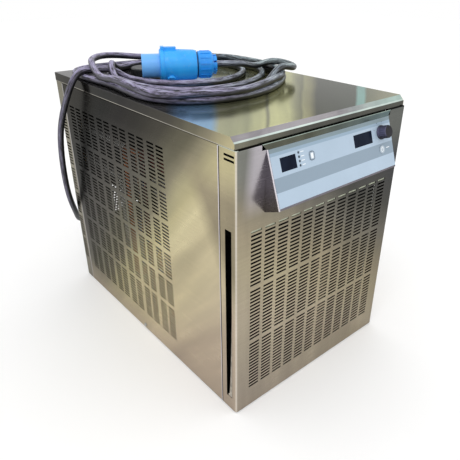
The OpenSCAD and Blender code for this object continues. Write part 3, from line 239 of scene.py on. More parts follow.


# Painted reflections on the side, with painted shade at its top front and a painted floor reflection at its foot
def side_reflection_tone(mat, place):
    run = along(mat, place, SIDE_RUN)
    up = along(mat, place, UP)
    tone = mixed(mat, levels(mat, up, 0.37, 0.43), tone_run(mat, run, SIDE_REACH, SIDE_REFLECTION_TONES, 0.012, place),
                 tone_run(mat, run, SIDE_REACH, SIDE_TOP_REFLECTION_TONES, 0.012, place))
    # Painted shade at the top front of the side: a darker straw patch
    corner = times(mat, levels(mat, along(mat, place, (0.0, -1.0, 0.6)), 0.395, 0.435),
                   levels(mat, up, 0.43, 0.38))
    tone = mixed(mat, corner, tone, linear("#a59a80"))
    # Painted reflection of the floor: lighter towards the foot
    return mixed(mat, levels(mat, up, 0.06, 0.012, 0.0, 0.6), tone, linear("#c6b6a3"))


def side_sheet(name):
    """Side panel: painted reflections, a straw-coloured sheen in the blank front part turning smoky grey towards the
    top and rear, with painted highlights along its front and rear bends.
    """
    mat, surface, place = stainless(name)
    tone = side_reflection_tone(mat, place)
    # Painted highlights along the front and rear bends
    tone = glint(mat, along(mat, place, FRONT), 0.242, 0.2424, "#efe9f0", tone, 0.85)
    tone = glint(mat, along(mat, place, BACK), 0.2492, 0.2498, "#e2dede", tone, 0.8)
    tone = shaded_inside(mat, place, tone)
    smear = axes(mat, place, (0.0, 18.0, 17.0), (0.0, -2.0, 2.1), (3.0, 0.0, 0.0))
    return stainless_surface(mat, surface, place, tone, (60, 9, 420), smear)


def front_sheet(name):
    """Front panel: painted reflections, warm grey at the lower left and smoky at the upper right, with a painted
    lilac reflection of the console's cheek next to the console and painted highlights on its bends; its left return
    has the side's painted reflections."""
    mat, surface, place = stainless(name)
    up = along(mat, place, UP)
    # Painted reflections: warm grey at the lower left, greyer and darker towards the upper right
    tone = tone_run(mat, along(mat, place, (0.55, 0.0, 1.0)), (-0.1, 0.56), [
        (-0.1, "#998e80"), (-0.05, "#9c9284"), (0.03, "#a39987"), (0.105, "#a99e8a"), (0.19, "#a2987f"),
        (0.24, "#958b75"), (0.28, "#837c6b"), (0.32, "#747066"), (0.375, "#54534e"), (0.435, "#4c4c4d"),
        (0.56, "#55575a")], 0.015, place)
    # Painted reflection, greyer towards the top
    tone = mixed(mat, levels(mat, up, 0.37, 0.425, 0.0, 0.75), tone, linear("#757771"))
    # Painted reflection, brighter towards the lower left
    reflection_gain = levels(mat, along(mat, place, (1.0, 0.0, 0.3)), -0.16, 0.27, 1.4, 0.95)
    tone = add(mat, "ShaderNodeVectorMath", {0: tone, "Scale": reflection_gain}, operation="SCALE").outputs["Vector"]
    # Painted reflection of the console's cheek: a pale lilac patch left of the console
    aside = along(mat, place, (-1.0, 0.0, 0.1))
    lilac_reflection = times(mat, levels(mat, aside, 0.212, 0.196), levels(mat, up, 0.352, 0.40))
    lilac_reflection = times(mat, lilac_reflection, levels(mat, aside, 0.165, 0.175, 0.0, 0.4))
    tone = mixed(mat, lilac_reflection, tone, linear("#f2e9f4"))
    # The left return carries the side's painted reflections
    on_return = levels(mat, along(mat, place, LEFT), 0.1815, 0.1835)
    tone = mixed(mat, on_return, tone, side_reflection_tone(mat, place))
    # Painted shade at the return's rear edge, in the seam to the side panel
    tone = glint(mat, along(mat, place, BACK), -0.2461, -0.2457, "#2b2826", tone, 0.9)
    # Painted highlights on the rounded front left corner and on the top bend
    corner = along(mat, place, (-DIAGONAL, -DIAGONAL, 0.0))
    tone = glint(mat, corner, 0.3260, 0.3264, "#ece4d6", tone, 0.7)
    tone = glint(mat, up, 0.4545, 0.4549, "#c9d6cb", tone, 0.8)
    tone = shaded_inside(mat, place, tone)
    smear = axes(mat, place, (26.0, 0.0, 0.0), (0.0, 12.0, 0.0), (0.0, 0.0, 2.5))
    return stainless_surface(mat, surface, place, tone, (9, 60, 420), smear)


# Painted reflections on the lid: streaks that fan out from a point beyond its front left corner; their places are
# angles in degrees
FAN_CENTRE = (-0.55, -0.718)
LID_REFLECTION_STREAKS = [(30.0, "#b5b898"), (33.6, "#9c9b7d"), (35.2, "#7f836a"), (35.45, "#97c6be"), (36.15, "#97c6be"),
               (36.4, "#565b50"), (40.7, "#494b3d"), (41.5, "#a09c72"), (42.2, "#b3b182"), (42.5, "#8a8a6a"),
               (43.2, "#aeae86"), (43.9, "#e0e0a6"), (46.1, "#ebebae"), (46.45, "#91917a"), (46.8, "#e6e6ac"),
               (48.2, "#d6d7a4"), (48.8, "#b3b58e"), (52.2, "#c3c49c"), (53.2, "#9ccbf0"), (56.8, "#98c4f0"),
               (58.5, "#7b7a78"), (70.0, "#6f6c70")]


def lid_sheet(name):
    """Lid: nearly a mirror, with painted reflections in straw, smoke-grey and sky-blue streaks, and a folded front
    edge: pale slope and dark flange, both painted reflections, and a bright bend, a painted highlight."""
    mat, surface, place = stainless(name, 0.85, 0.2)
    across = along(mat, place, ACROSS, -FAN_CENTRE[0])
    depth = along(mat, place, BACK, -FAN_CENTRE[1])
    angle = times(mat, math_node(mat, "ARCTAN2", depth, across), math.degrees(1.0))
    top = tone_run(mat, angle, (30.0, 70.0), LID_REFLECTION_STREAKS, 0.004, place)
    up = along(mat, place, UP)
    bend = (LID_Z - LID_BEND) * MM
    # Painted reflections on the folded front edge: the slope paler and bluer to the right, the flange darker to the
    # right
    rightward = levels(mat, along(mat, place, ACROSS), 0.02, 0.16)
    slope = mixed(mat, rightward, linear("#a5a1a4"), linear("#b8cec6"))
    flange = mixed(mat, levels(mat, along(mat, place, ACROSS), -0.184, -0.06), linear("#7c7a6a"), linear("#55554f"))
    edge = mixed(mat, levels(mat, up, bend, bend + 0.0004), flange, slope)
    # Painted highlight along the bend
    line = math_node(mat, "ABSOLUTE", math_node(mat, "SUBTRACT", up, bend))
    line = math_node(mat, "SUBTRACT", 0.0011, line)
    edge = glint(mat, line, 0.0, 0.0003, "#dcebe4", edge, 0.9)
    # The side flanges take the side's painted reflections, with a painted highlight along their lower edge
    end = glint(mat, along(mat, place, (0.0, 0.0, -1.0)), -0.4568, -0.4562, "#d8d3c6", side_reflection_tone(mat, place), 0.7)
    edge = mixed(mat, levels(mat, size_of(mat, place, ACROSS), 0.1828, 0.1833), edge, end)
    tone = mixed(mat, levels(mat, up, 0.4712, 0.4715), edge, top)
    smear = axes(mat, place, (34.0 * 0.754, -34.0 * 0.657, 0.0), (3.0 * 0.657, 3.0 * 0.754, 0.0), (0.0, 0.0, 4.0))
    return stainless_surface(mat, surface, place, tone, (60, 420, 60), smear, (0.1, 0.2))


def rear_sheet(name):
    """Rear panel: plain warm grey sheet."""
    mat, surface, place = stainless(name)
    tone = tone_run(mat, along(mat, place, (0.3, 0.0, 1.0)), (0.0, 0.5), [
        (0.0, "#8d8779"), (0.25, "#9c9788"), (0.5, "#83806f")], 0.1, place)
    tone = shaded_inside(mat, place, tone)
    smear = axes(mat, place, (20.0, 0.0, 0.0), (0.0, 12.0, 0.0), (0.0, 0.0, 2.5))
    return stainless_surface(mat, surface, place, tone, (9, 60, 420), smear)


def console_sheet(name):
    """Stainless steel of the console: grey ends, a painted reflection on the strip above the film, olive turning
    blue-grey to the right, a painted highlight on the fold at the top and a pale painted highlight on the steel
    left of the film."""
    mat, surface, place = stainless(name)
    up = along(mat, place, UP)
    # Painted reflection on the strip above the film: olive, turning blue-grey to the right
    strip = mixed(mat, levels(mat, along(mat, place, ACROSS), -0.05, 0.13), linear("#5d5f53"), linear("#68797a"))
    tone = mixed(mat, levels(mat, up, 0.4455, 0.4465), linear("#837f86"), strip)
    # Painted highlight on the fold at the top
    tone = glint(mat, up, 0.4541, 0.4545, "#b4c6bb", tone, 0.9)
    out = (0.0, -math.cos(FACE_TILT), math.sin(FACE_TILT))
    face = along(mat, place, out, -(-FRONT_Y * math.cos(FACE_TILT) + CONSOLE_TOP * math.sin(FACE_TILT)) * MM)
    film_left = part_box("console_overlay")[0][0]
    beside_film = levels(mat, along(mat, place, LEFT), -film_left - 0.0002, -film_left + 0.0002)
    below_strip = levels(mat, up, 0.4466, 0.4462)
    # Painted highlight along the steel edge left of the film
    left_edge_highlight = times(mat, levels(mat, face, -0.0012, -0.0004), times(mat, beside_film, below_strip))
    tone = mixed(mat, left_edge_highlight, tone, linear("#e9e4ea"))
    smear = axes(mat, place, (40.0, 0.0, 0.0), (0.0, 30.0, 0.0), (0.0, 0.0, 6.0))
    return stainless_surface(mat, surface, place, tone, (9, 60, 420), smear)


def shaded_galvanised_sheet(name):
    """Zinc-coated sheet inside the casing, coloured dark grey as painted shade, with faint spangle patches about 8 mm
    wide.
    """
    mat, surface, place = finish_material(name, Metallic=0.9, Roughness=0.45)
    cells = add(mat, "ShaderNodeTexVoronoi", {"Vector": place, "Scale": 120.0}, feature="F1").outputs["Color"]
    grey = add(mat, "ShaderNodeRGBToBW", {0: cells}).outputs[0]
    # Painted shade: far darker than bare zinc, for the shade inside the casing
    join(mat, ramp(mat, grey, [(0.2, "#2b2d2c"), (0.8, "#3a3c3b")]), surface, "Base Color")
    join(mat, levels(mat, grey, 0.0, 1.0, 0.35, 0.5), surface, "Roughness")
    return mat


def plain_metal(name, light, dark, rough):
    """Plain drawn or machined metal, slightly stained in patches about 11 mm wide."""
    mat, surface, place = finish_material(name, Metallic=1.0, Roughness=rough)
    stain = grain(mat, place, 90)
    join(mat, ramp(mat, stain, [(0.35, dark), (0.65, light)]), surface, "Base Color")
    join(mat, levels(mat, stain, 0.3, 0.7, rough + 0.1, rough - 0.06), surface, "Roughness")
    return mat


def moulded_plastic(name, light, dark, rough):
    """Moulded plastic, faintly mottled, with a fine eggshell texture about 1 mm wide."""
    mat, surface, place = finish_material(name, Roughness=rough)
    mottle = grain(mat, place, 40)
    join(mat, ramp(mat, mottle, [(0.3, dark), (0.7, light)]), surface, "Base Color")
    join(mat, levels(mat, mottle, 0.3, 0.7, rough - 0.06, rough + 0.08), surface, "Roughness")
    bump(mat, grain(mat, place, 900, detail=1.0), surface, 0.08, 0.0002)
    return mat


def soft_knob(name):
    """Soft-touch coating of the knob: violet-black, with a painted violet highlight on its left flank."""
    mat, surface, place = finish_material(name, Roughness=0.5, Specular_IOR_Level=0.25)
    mottle = grain(mat, place, 160, detail=4.0)
    # Painted highlight where the surface faces left
    leftward = along(mat, add(mat, "ShaderNodeNewGeometry").outputs["Normal"], (-0.85, -0.3, 0.35))
    colour = ramp(mat, mottle, [(0.3, "#101016"), (0.7, "#1b1b24")])
    sheen = levels(mat, leftward, 0.55, 0.98, 0.0, 0.7)
    join(mat, mixed(mat, sheen, colour, linear("#6f6f90")), surface, "Base Color")
    bump(mat, grain(mat, place, 900, detail=1.0), surface, 0.08, 0.0002)
    return mat


def painted_steel(name, light, dark, rough=0.35):
    """Semi-gloss paint on steel, with a faint orange-peel texture about 2 mm wide."""
    mat, surface, place = finish_material(name, Roughness=rough)
    join(mat, ramp(mat, grain(mat, place, 20), [(0.3, dark), (0.7, light)]), surface, "Base Color")
    bump(mat, grain(mat, place, 450, detail=1.0), surface, 0.1, 0.0002)
    return mat


def open_foam(name):
    """Open-cell foam: cells about 2 mm wide, dark and fully matt."""
    mat, surface, place = finish_material(name, Roughness=0.95)
    cells = add(mat, "ShaderNodeTexVoronoi", {"Vector": place, "Scale": 480.0}, feature="F1").outputs["Distance"]
    join(mat, ramp(mat, cells, [(0.1, "#050506"), (0.6, "#151618")]), surface, "Base Color")
    bump(mat, cells, surface, 0.6, 0.001)
    return mat


def fin_stack(name):
    """Thin aluminium fins, drawn as level lines about 4 mm apart so that they show."""
    mat, surface, place = finish_material(name, Metallic=0.85, Roughness=0.4)
    lines = add(mat, "ShaderNodeTexWave", {"Vector": place, "Scale": 80.0, "Distortion": 0.3},
                wave_type="BANDS", bands_direction="Z").outputs["Fac"]
    join(mat, ramp(mat, lines, [(0.2, "#8f9398"), (0.8, "#c6cacd")]), surface, "Base Color")
    return mat


def braided_hose(name):
    """Silver braid over a hose: crossed wires, drawn about 2 mm apart."""
    mat, surface, place = finish_material(name, Metallic=0.7, Roughness=0.35)
    waves = [math_node(mat, "SINE", times(mat, along(mat, place, way), 1900.0))
             for way in ((1.0, 0.6, 1.0), (-1.0, 0.6, 1.0))]
    weave = math_node(mat, "MAXIMUM", *waves)
    join(mat, ramp(mat, levels(mat, weave, -1.0, 1.0), [(0.3, "#6e7072"), (0.9, "#d6d6d2")]), surface, "Base Color")
    bump(mat, weave, surface, 0.5, 0.0006)
    return mat


def coloured_wires(name):
    """Stranded wires with coloured insulation; a run's colour goes by its place from front to back."""
    mat, surface, place = finish_material(name, Roughness=0.35)
    run = levels(mat, along(mat, place, BACK), -0.04, 0.0)
    run = math_node(mat, "ADD", run, levels(mat, grain(mat, place, 14), 0.3, 0.7, -0.3, 0.3))
    colours = [(0.0, "#5e221d"), (0.27, "#1d3260"), (0.5, "#6b441f"), (0.75, "#3a3152")]
    join(mat, ramp(mat, run, colours, "CONSTANT"), surface, "Base Color")
    return mat


def scuffed_rubber(name, length):
    """Rubber sheath of the supply lead: near-black below; pale violet marks on top and on the left flank, partly dust
    and partly painted highlight; and whitish scuff marks that run lengthwise on the tops, partly wear and partly
    painted highlight, most of them at the right-hand turns."""
    mat, surface, place = finish_material(name, Roughness=0.45)
    sheath = add(mat, "ShaderNodeSeparateXYZ", {0: add(mat, "ShaderNodeTexCoord").outputs["UV"]})
    run = times(mat, sheath.outputs["X"], length)
    turn = times(mat, sheath.outputs["Y"], math.tau)
    ring = add(mat, "ShaderNodeCombineXYZ", {"X": math_node(mat, "COSINE", turn),
                                             "Y": math_node(mat, "SINE", turn), "Z": run}).outputs["Vector"]
    broad = grain(mat, ring, (0.5, 0.5, 14), detail=4.0, roughness=0.6)
    fine = grain(mat, ring, (2.6, 2.6, 42), detail=6.0, roughness=0.72)
    facing = add(mat, "ShaderNodeNewGeometry").outputs["Normal"]
    # Painted highlight on the left flank, and on the tops together with dust
    flank = levels(mat, along(mat, facing, (-0.75, -0.6, 0.1)), 0.6, 0.9, 0.0, 0.35)
    upward = math_node(mat, "MAXIMUM", flank, levels(mat, along(mat, facing, (-0.15, -0.35, 0.95)), 0.3, 0.85))
    # The pale marks turn from violet on the left to teal-grey on the right
    rightward = levels(mat, along(mat, place, (1.0, -0.2, 0.0)), -0.08, 0.12)
    colour = ramp(mat, broad, [(0.3, "#050507"), (0.7, "#18181d")])
    dust_and_highlight = times(mat, levels(mat, fine, 0.42, 0.54), upward)
    colour = mixed(mat, levels(mat, dust_and_highlight, 0.0, 1.0, 0.0, 0.8), colour,
                   mixed(mat, rightward, linear("#a9a0c6"), linear("#8c9ca2")))
    # Scuff marks on the tops, partly wear and partly painted highlight, mostly to the right
    scuffs_and_highlight = times(mat, levels(mat, fine, 0.55, 0.62), upward)
    scuffs_and_highlight = times(mat, scuffs_and_highlight, levels(mat, rightward, 0.0, 1.0, 0.4, 1.0))
    colour = mixed(mat, levels(mat, scuffs_and_highlight, 0.0, 1.0, 0.0, 0.9), colour, linear("#bccbcc"))
    join(mat, colour, surface, "Base Color")
    join(mat, levels(mat, fine, 0.3, 0.7, 0.32, 0.6), surface, "Roughness")
    bump(mat, fine, surface, 0.3, 0.0004)
    return mat


def printed_overlay(name):
    """Printed polyester film on the console: light blue with a darker band across and one along the top edge."""
    mat, surface, place = finish_material(name, Roughness=0.38)
    slope = levels(mat, along(mat, place, UP), CONSOLE_TOP * MM, (CONSOLE_TOP - CONSOLE_DROP) * MM)
    bands = [(0.0, "#76888f"), (0.075, "#8ea5b8"), (0.13, "#abbed0"), (0.475, "#8799a9"), (0.71, "#aec1d3")]
    colour = ramp(mat, slope, bands, "CONSTANT")
    cloud = levels(mat, grain(mat, place, 22), 0.3, 0.7, 0.0, 0.16)
    colour = mixed(mat, cloud, colour, linear("#8fa3b3"))
    join(mat, colour, surface, "Base Color")
    bump(mat, grain(mat, place, 700, detail=1.0), surface, 0.05, 0.0001)
    return mat


def display_window(name):
    """Tinted acrylic window, near-black navy, polished."""
    mat, surface, place = finish_material(name, Roughness=0.15, Specular_IOR_Level=0.06)
    haze = grain(mat, place, 40)
    join(mat, ramp(mat, haze, [(0.3, "#0a1120"), (0.7, "#172031")]), surface, "Base Color")
    return mat


# Distances along the plug from its face, in metres: the paler collar ends here, and the nut meets the shell here
PLUG_COLLAR = 0.03
PLUG_SEAM = 0.0975


def plug_plastic(name, light="#35b2ff", dark="#27a2fb"):
    """Moulded polyamide of the plug: azure, smooth, with faint handling marks, a paler collar and a dark seam."""
    mat, surface, place = finish_material(name, Roughness=0.34)
    mottle = grain(mat, place, 24)
    marks = levels(mat, grain(mat, place, 190, detail=4.0), 0.56, 0.7, 0.0, 0.3)
    colour = ramp(mat, mottle, [(0.3, dark), (0.7, light)])
    colour = mixed(mat, marks, colour, linear("#74b4f0"))
    length = along(mat, place, tuple(PLUG_WAY), -float(PLUG_FACE @ PLUG_WAY) * MM)
    colour = mixed(mat, levels(mat, length, PLUG_COLLAR + 0.002, PLUG_COLLAR, 0.0, 0.5), colour, linear("#93c4fa"))
    seam = math_node(mat, "ABSOLUTE", math_node(mat, "SUBTRACT", length, PLUG_SEAM))
    colour = mixed(mat, levels(mat, seam, 0.0016, 0.0009), colour, linear("#0c3566"))
    join(mat, colour, surface, "Base Color")
    bump(mat, grain(mat, place, 700, detail=1.0), surface, 0.06, 0.0002)
    return mat


def plain_mark(name, colour):
    """Screen-printed ink, slightly worn in spots about 3 mm wide."""
    mat, surface, place = finish_material(name, Roughness=0.5)
    wear = levels(mat, grain(mat, place, 300), 0.45, 0.75, 0.0, 0.25)
    join(mat, mixed(mat, wear, linear(colour), linear("#9fb0bd")), surface, "Base Color")
    return mat


# ---------------------------------------------------------------- pieces

# On the console's face: heights above its steel in millimetres, the body, and the slot of what is printed there
ON_FILM = (0.5, 0.5 + 0.12, "chassis", "overlay_blue")
ON_SELECT_KEY = (1.4 - 0.05, 1.4 + 0.1, "select_button", "key_white")
ON_POWER_KEY = (1.4 - 0.05, 1.4 + 0.1, "power_button", "key_white")


def linked(name, data):
    """A new object in the scene."""
    obj = bpy.data.objects.new(name, data)
    bpy.context.scene.collection.objects.link(obj)
    return obj


def made_object(name, mesh, mat, body):
    obj = linked(name, mesh)
    obj.data.materials.append(mat)
    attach(obj, body)


def mesh_of(name, points, faces):
    """Flat-sided mesh from points in millimetres, with its faces turned outwards."""
    mesh = bpy.data.meshes.new(name)
    mesh.from_pydata([Vector(p) * MM for p in points], [], faces)
    bm = bmesh.new()
    bm.from_mesh(mesh)
    bmesh.ops.recalc_face_normals(bm, faces=bm.faces)
    bm.to_mesh(mesh)
    bm.free()
    mesh.update()
    return mesh


def prism(near, far):
    """Points and faces of a body between two outlines of the same number of points."""
    n = len(near)
    faces = [tuple(range(n)), tuple(range(2 * n - 1, n - 1, -1))]
    faces += [(k, (k + 1) % n, (k + 1) % n + n, k + n) for k in range(n)]
    return [*near, *far], faces


def on_face(x, down, out):
    """Point of the console's sloping face: across, down the slope from its top edge, and out from it."""
    s, c = math.sin(FACE_TILT), math.cos(FACE_TILT)
    return Vector((x, FRONT_Y - down * s - out * c, CONSOLE_TOP - down * c + out * s))


def face_plate(name, outline, mat, where):
    """Flat plate on the console's face, from an outline of (across, down) points."""
    low, high, body, material_slot = where
    points, faces = prism([on_face(x, d, low) for x, d in outline], [on_face(x, d, high) for x, d in outline])
    made_object(name, mesh_of(name, points, faces), mat, body)


def round_outline(x, down, radius, count, start=0.0, sweep=360.0):
    return [(x + radius * math.cos(math.radians(start + sweep * k / count)),
             down + radius * math.sin(math.radians(start + sweep * k / count))) for k in range(count + (sweep < 360))]


def rounded_outline(x, down, w, h, r):
    out, count = [], 6
    for cx, cy, a in ((1, 1, 0), (-1, 1, 90), (-1, -1, 180), (1, -1, 270)):
        for k in range(count + 1):
            t = math.radians(a + 90 * k / count)
            out.append((x + cx * (w / 2 - r) + r * math.cos(t), down + cy * (h / 2 - r) + r * math.sin(t)))
    return out


def ring_plate(name, outer, inner, mat, where):
    """Flat ring on the console's face between two outlines of the same number of points."""
    low, high, body, material_slot = where
    n = len(outer)
    points = [on_face(x, d, z) for line, z in ((outer, low), (outer, high), (inner, high), (inner, low))
              for x, d in line]
    faces = []
    for band in range(4):
        a, b = band * n, ((band + 1) % 4) * n
        faces += [(a + k, a + (k + 1) % n, b + (k + 1) % n, b + k) for k in range(n)]
    made_object(name, mesh_of(name, points, faces), mat, body)


# ---------------------------------------------------------------- supply lead

LEAD = [(-95, 302, 100), (-95, 318, 100), (-96, 340, 99), (-103, 360, 99), (-119, 373, 103), (-139, 370, 112),
        (-156, 350, 124), (-169, 324, 138), (-181, 301, 157), (-193, 284, 186), (-202, 270, 224), (-207, 259, 268),
        (-209, 248, 318), (-209, 233, 364), (-207, 213, 402), (-203, 187, 438), (-197, 172, 461), (-186, 166, 480),
        (-172, 164, 490), (-155, 164, 493)]
# Turns on the lid: across, back, and height of the lead's axis above the lid; from the innermost to the plug
TURNS = [
    (-139, 157, 19), (-127, 143, 15), (-118, 118, 11), (-114, 84, 8), (-104, 48, 7), (-81, 19, 7), (-49, -5, 7),
    (-13, -16, 7), (26, -12, 7), (62, 4, 7), (93, 30, 7), (114, 62, 7), (120, 100, 7), (110, 140, 7), (84, 178, 7),
    (44, 208, 7), (-6, 224, 7), (-56, 220, 7), (-98, 196, 7), (-124, 156, 8), (-134, 108, 8), (-137, 58, 8),
    (-130, 10, 8), (-108, -32, 8), (-70, -58, 8), (-25, -67, 8), (22, -61, 8), (62, -44, 8), (98, -18, 8),
    (128, 15, 8), (142, 58, 8), (138, 105, 8), (120, 150, 8), (88, 192, 8), (44, 222, 8), (-8, 238, 8),
    (-60, 248, 8), (-104, 252, 8), (-142, 246, 7), (-166, 222, 7), (-174, 186, 7), (-172, 145, 7), (-167, 105, 7),
    (-166, 62, 7), (-169, 20, 7), (-171, -25, 7), (-162, -70, 7), (-135, -105, 7), (-95, -125, 7), (-48, -132, 7),
    (0, -126, 7), (45, -108, 7), (88, -82, 7), (123, -48, 7), (145, -5, 7), (151, 45, 7), (144, 95, 7),
    (126, 140, 12), (96, 180, 18), (54, 210, 22), (2, 232, 27), (-46, 244, 35), (-92, 240, 40), (-130, 210, 41),
    (-155, 165, 38), (-169, 116, 28), (-175, 68, 22), (-177, 16, 21), (-174, -42, 21), (-155, -92, 21),
    (-114, -118, 21), (-69, -134, 21), (-20, -132, 21), (32, -112, 21), (62, -97, 21), (98, -70, 21),
    (130, -35, 21), (146, 12, 22), (145, 62, 25), (138, 105, 27), (118, 140, 28), (92, 164, 28), (54, 184, 28),
    (8, 200, 26), (-44, 203, 25), (-90, 186, 23), (-124, 148, 21), (-143, 100, 20), (-148, 50, 17), (-144, 0, 14),
    (-130, -46, 11), (-104, -80, 9), (-70, -96, 8), (-34, -100, 8), (10, -97, 10), (52, -90, 16), (88, -82, 24),
    (116, -76, 32), (142, -62, 34), (155, -36, 33), (147, -11, 31), (125, 1, 29.5), (100, 2, 29), (75, -4, 28.8),
    (55, -3.8, 28.8), (35, 7.1, 28.8), (17, 17, 28.8), (8, 21.9, 28.8)]
LEAD_D = 12.0
SPACING = 9.0
# The plug: middle of its face, the way from there to its nut, and its steps as (end, radius) along that way
PLUG_FACE = np.array([-100.0, 81.0, 500.4])
PLUG_WAY = np.array([math.cos(math.radians(-28.7)), math.sin(math.radians(-28.7)), 0.0])
PLUG_STEPS = ((30.0, 20.5), (44.0, 28.5), (133.0, 25.0))
# Settling, per round: share of the way back to the chosen route, sinking in millimetres, easing of the bends
# (first and last rounds), and share of an overlap that is pushed out
PULL = 0.004
SINK = 0.05
EASE, LAST_EASE = 0.08, 0.02
PUSH = 0.3
ROUNDS = 900
LAST_SHARE = 0.93


def smooth_line(points, spacing):
    """Points at even steps along a smooth curve through the given ones."""
    p = np.array(points, float)
    ext = np.vstack([2 * p[0] - p[1], p, 2 * p[-1] - p[-2]])
    fine = []
    for i in range(1, len(ext) - 2):
        a, b, c, d = ext[i - 1], ext[i], ext[i + 1], ext[i + 2]
        for t in np.linspace(0, 1, 12, endpoint=False):
            fine.append(0.5 * (2 * b + (c - a) * t + (2 * a - 5 * b + 4 * c - d) * t ** 2
                               + (3 * b - a - 3 * c + d) * t ** 3))
    fine.append(ext[-2])
    fine = np.array(fine)
    run = np.concatenate([[0], np.cumsum(np.linalg.norm(np.diff(fine, axis=0), axis=1))])
    count = int(round(run[-1] / spacing))
    at = np.linspace(0, run[-1], count + 1)
    return np.column_stack([np.interp(at, run, fine[:, k]) for k in range(3)])


def near_pairs(p, reach):
    """Index pairs of points that are close in space but far apart along the lead."""
    dist = np.linalg.norm(p[:, None, :] - p[None, :, :], axis=2)
    far = np.abs(np.subtract.outer(np.arange(len(p)), np.arange(len(p)))) > 8
    return np.nonzero(np.triu(far & (dist < reach)))


def clear_of_plug(p, free):
    """Push points off the plug, a stepped round body that lies on the lid."""
    run = (p - PLUG_FACE) @ PLUG_WAY
    off = p - PLUG_FACE - run[:, None] * PLUG_WAY
    dist = np.linalg.norm(off, axis=1) + 1e-9
    skin = LEAD_D / 2 + 0.4
    start = 0.0
    for end, radius in PLUG_STEPS:
        inside = free & (run > start) & (run < end) & (dist < radius + skin)
        p[inside] += (off / dist[:, None] * (radius + skin - dist)[:, None])[inside]
        start = end
    before = free & (run > -skin) & (run <= 0) & (dist < PLUG_STEPS[0][1] + skin)
    p[before] += ((-skin - run)[:, None] * PLUG_WAY)[before]


def clear_of_case(p, free):
    """Keep points a radius off the lid and the casing's sides."""
    nearest = np.minimum(np.maximum(p, [-CASE_HALF, -1e3, -1e3]), [CASE_HALF, 1e3, LID_Z])
    off = p - nearest
    dist = np.linalg.norm(off, axis=1)
    inside = free & (dist == 0) & (p[:, 1] < CASE_BACK)
    p[inside, 2] = LID_Z + LEAD_D / 2
    close = free & (dist > 0) & (dist < LEAD_D / 2) & (p[:, 1] < CASE_BACK)
    p[close] += (off / (dist[:, None] + 1e-9) * (LEAD_D / 2 - dist)[:, None])[close]


def settle(line, first, last):
    """Let the turns sink towards the lid and each other: strands that come closer than the lead's diameter are
    pushed apart, and the bends are eased. The route still holds a few stretches clear of what is under them."""
    p = line.copy()
    free = np.zeros(len(p), bool)
    free[first:last] = True
    gap = LEAD_D + 0.3
    lying = np.abs(line[:, 0]) < CASE_HALF - 10
    for step in range(ROUNDS):
        calm = step > ROUNDS * LAST_SHARE
        if step % 15 == 0:
            i, j = near_pairs(p, 3.2 * LEAD_D)
            order = np.where(line[i, 2] >= line[j, 2], 1.0, -1.0)
        move = np.zeros_like(p)
        bend = p[:-4] - 4 * p[1:-3] + 6 * p[2:-2] - 4 * p[3:-1] + p[4:]
        move[2:-2] -= (LAST_EASE if calm else EASE) * bend
        if not calm:
            move += PULL * (line - p)
            move[lying, 2] -= SINK
        p[free] += move[free]
        for _ in range(3):
            diff = p[i] - p[j]
            flat = np.hypot(diff[:, 0], diff[:, 1])
            dist = np.sqrt(flat ** 2 + diff[:, 2] ** 2)
            hit = dist < gap
            way = diff[hit]
            way[:, :2] *= 0.4
            way[:, 2] = order[hit] * np.maximum(np.abs(way[:, 2]), 0.3 * flat[hit])
            way /= np.linalg.norm(way, axis=1)[:, None] + 1e-9
            push = PUSH * (gap - dist[hit])[:, None] * way
            shift = np.zeros_like(p)
            np.add.at(shift, i[hit], push)
            np.add.at(shift, j[hit], -push)
            p[free] += shift[free]
            clear_of_plug(p, free)
            clear_of_case(p, free)
    return p


def lead_line():
    route = LEAD + [(x, y, LID_Z + h) for x, y, h in TURNS]
    line = smooth_line(route, SPACING)
    settled = settle(line, 3, len(line) - 7)
    return smooth_line([tuple(p) for p in settled], SPACING)


class ChillerSizes(bpy.types.PropertyGroup):
    lead_diameter: bpy.props.FloatProperty(name="Lead diameter", description="Outside diameter of the supply lead",
                                           default=LEAD_D * MM, unit="LENGTH")
    edge_round: bpy.props.FloatProperty(name="Edge rounding", description="Rounding of the folded sheet's edges",
                                        default=0.0006, unit="LENGTH")
    tick_radius: bpy.props.FloatProperty(name="Tick radius", description="Radius of the marks round the knob",
                                         default=0.017, unit="LENGTH")
    floor_size: bpy.props.FloatProperty(name="Floor size", description="Width of the floor", default=14.0,
                                        unit="LENGTH")


class ChillerColours(bpy.types.PropertyGroup):
    floor: bpy.props.StringProperty(name="Floor", description="sRGB colour of the floor", default="#fafafa")
    print_light: bpy.props.StringProperty(name="Pale print", description="sRGB colour of the pale marks",
                                          default="#eef3f6")
    print_dark: bpy.props.StringProperty(name="Dark print", description="sRGB colour of the dark marks",
                                         default="#4a5a68")


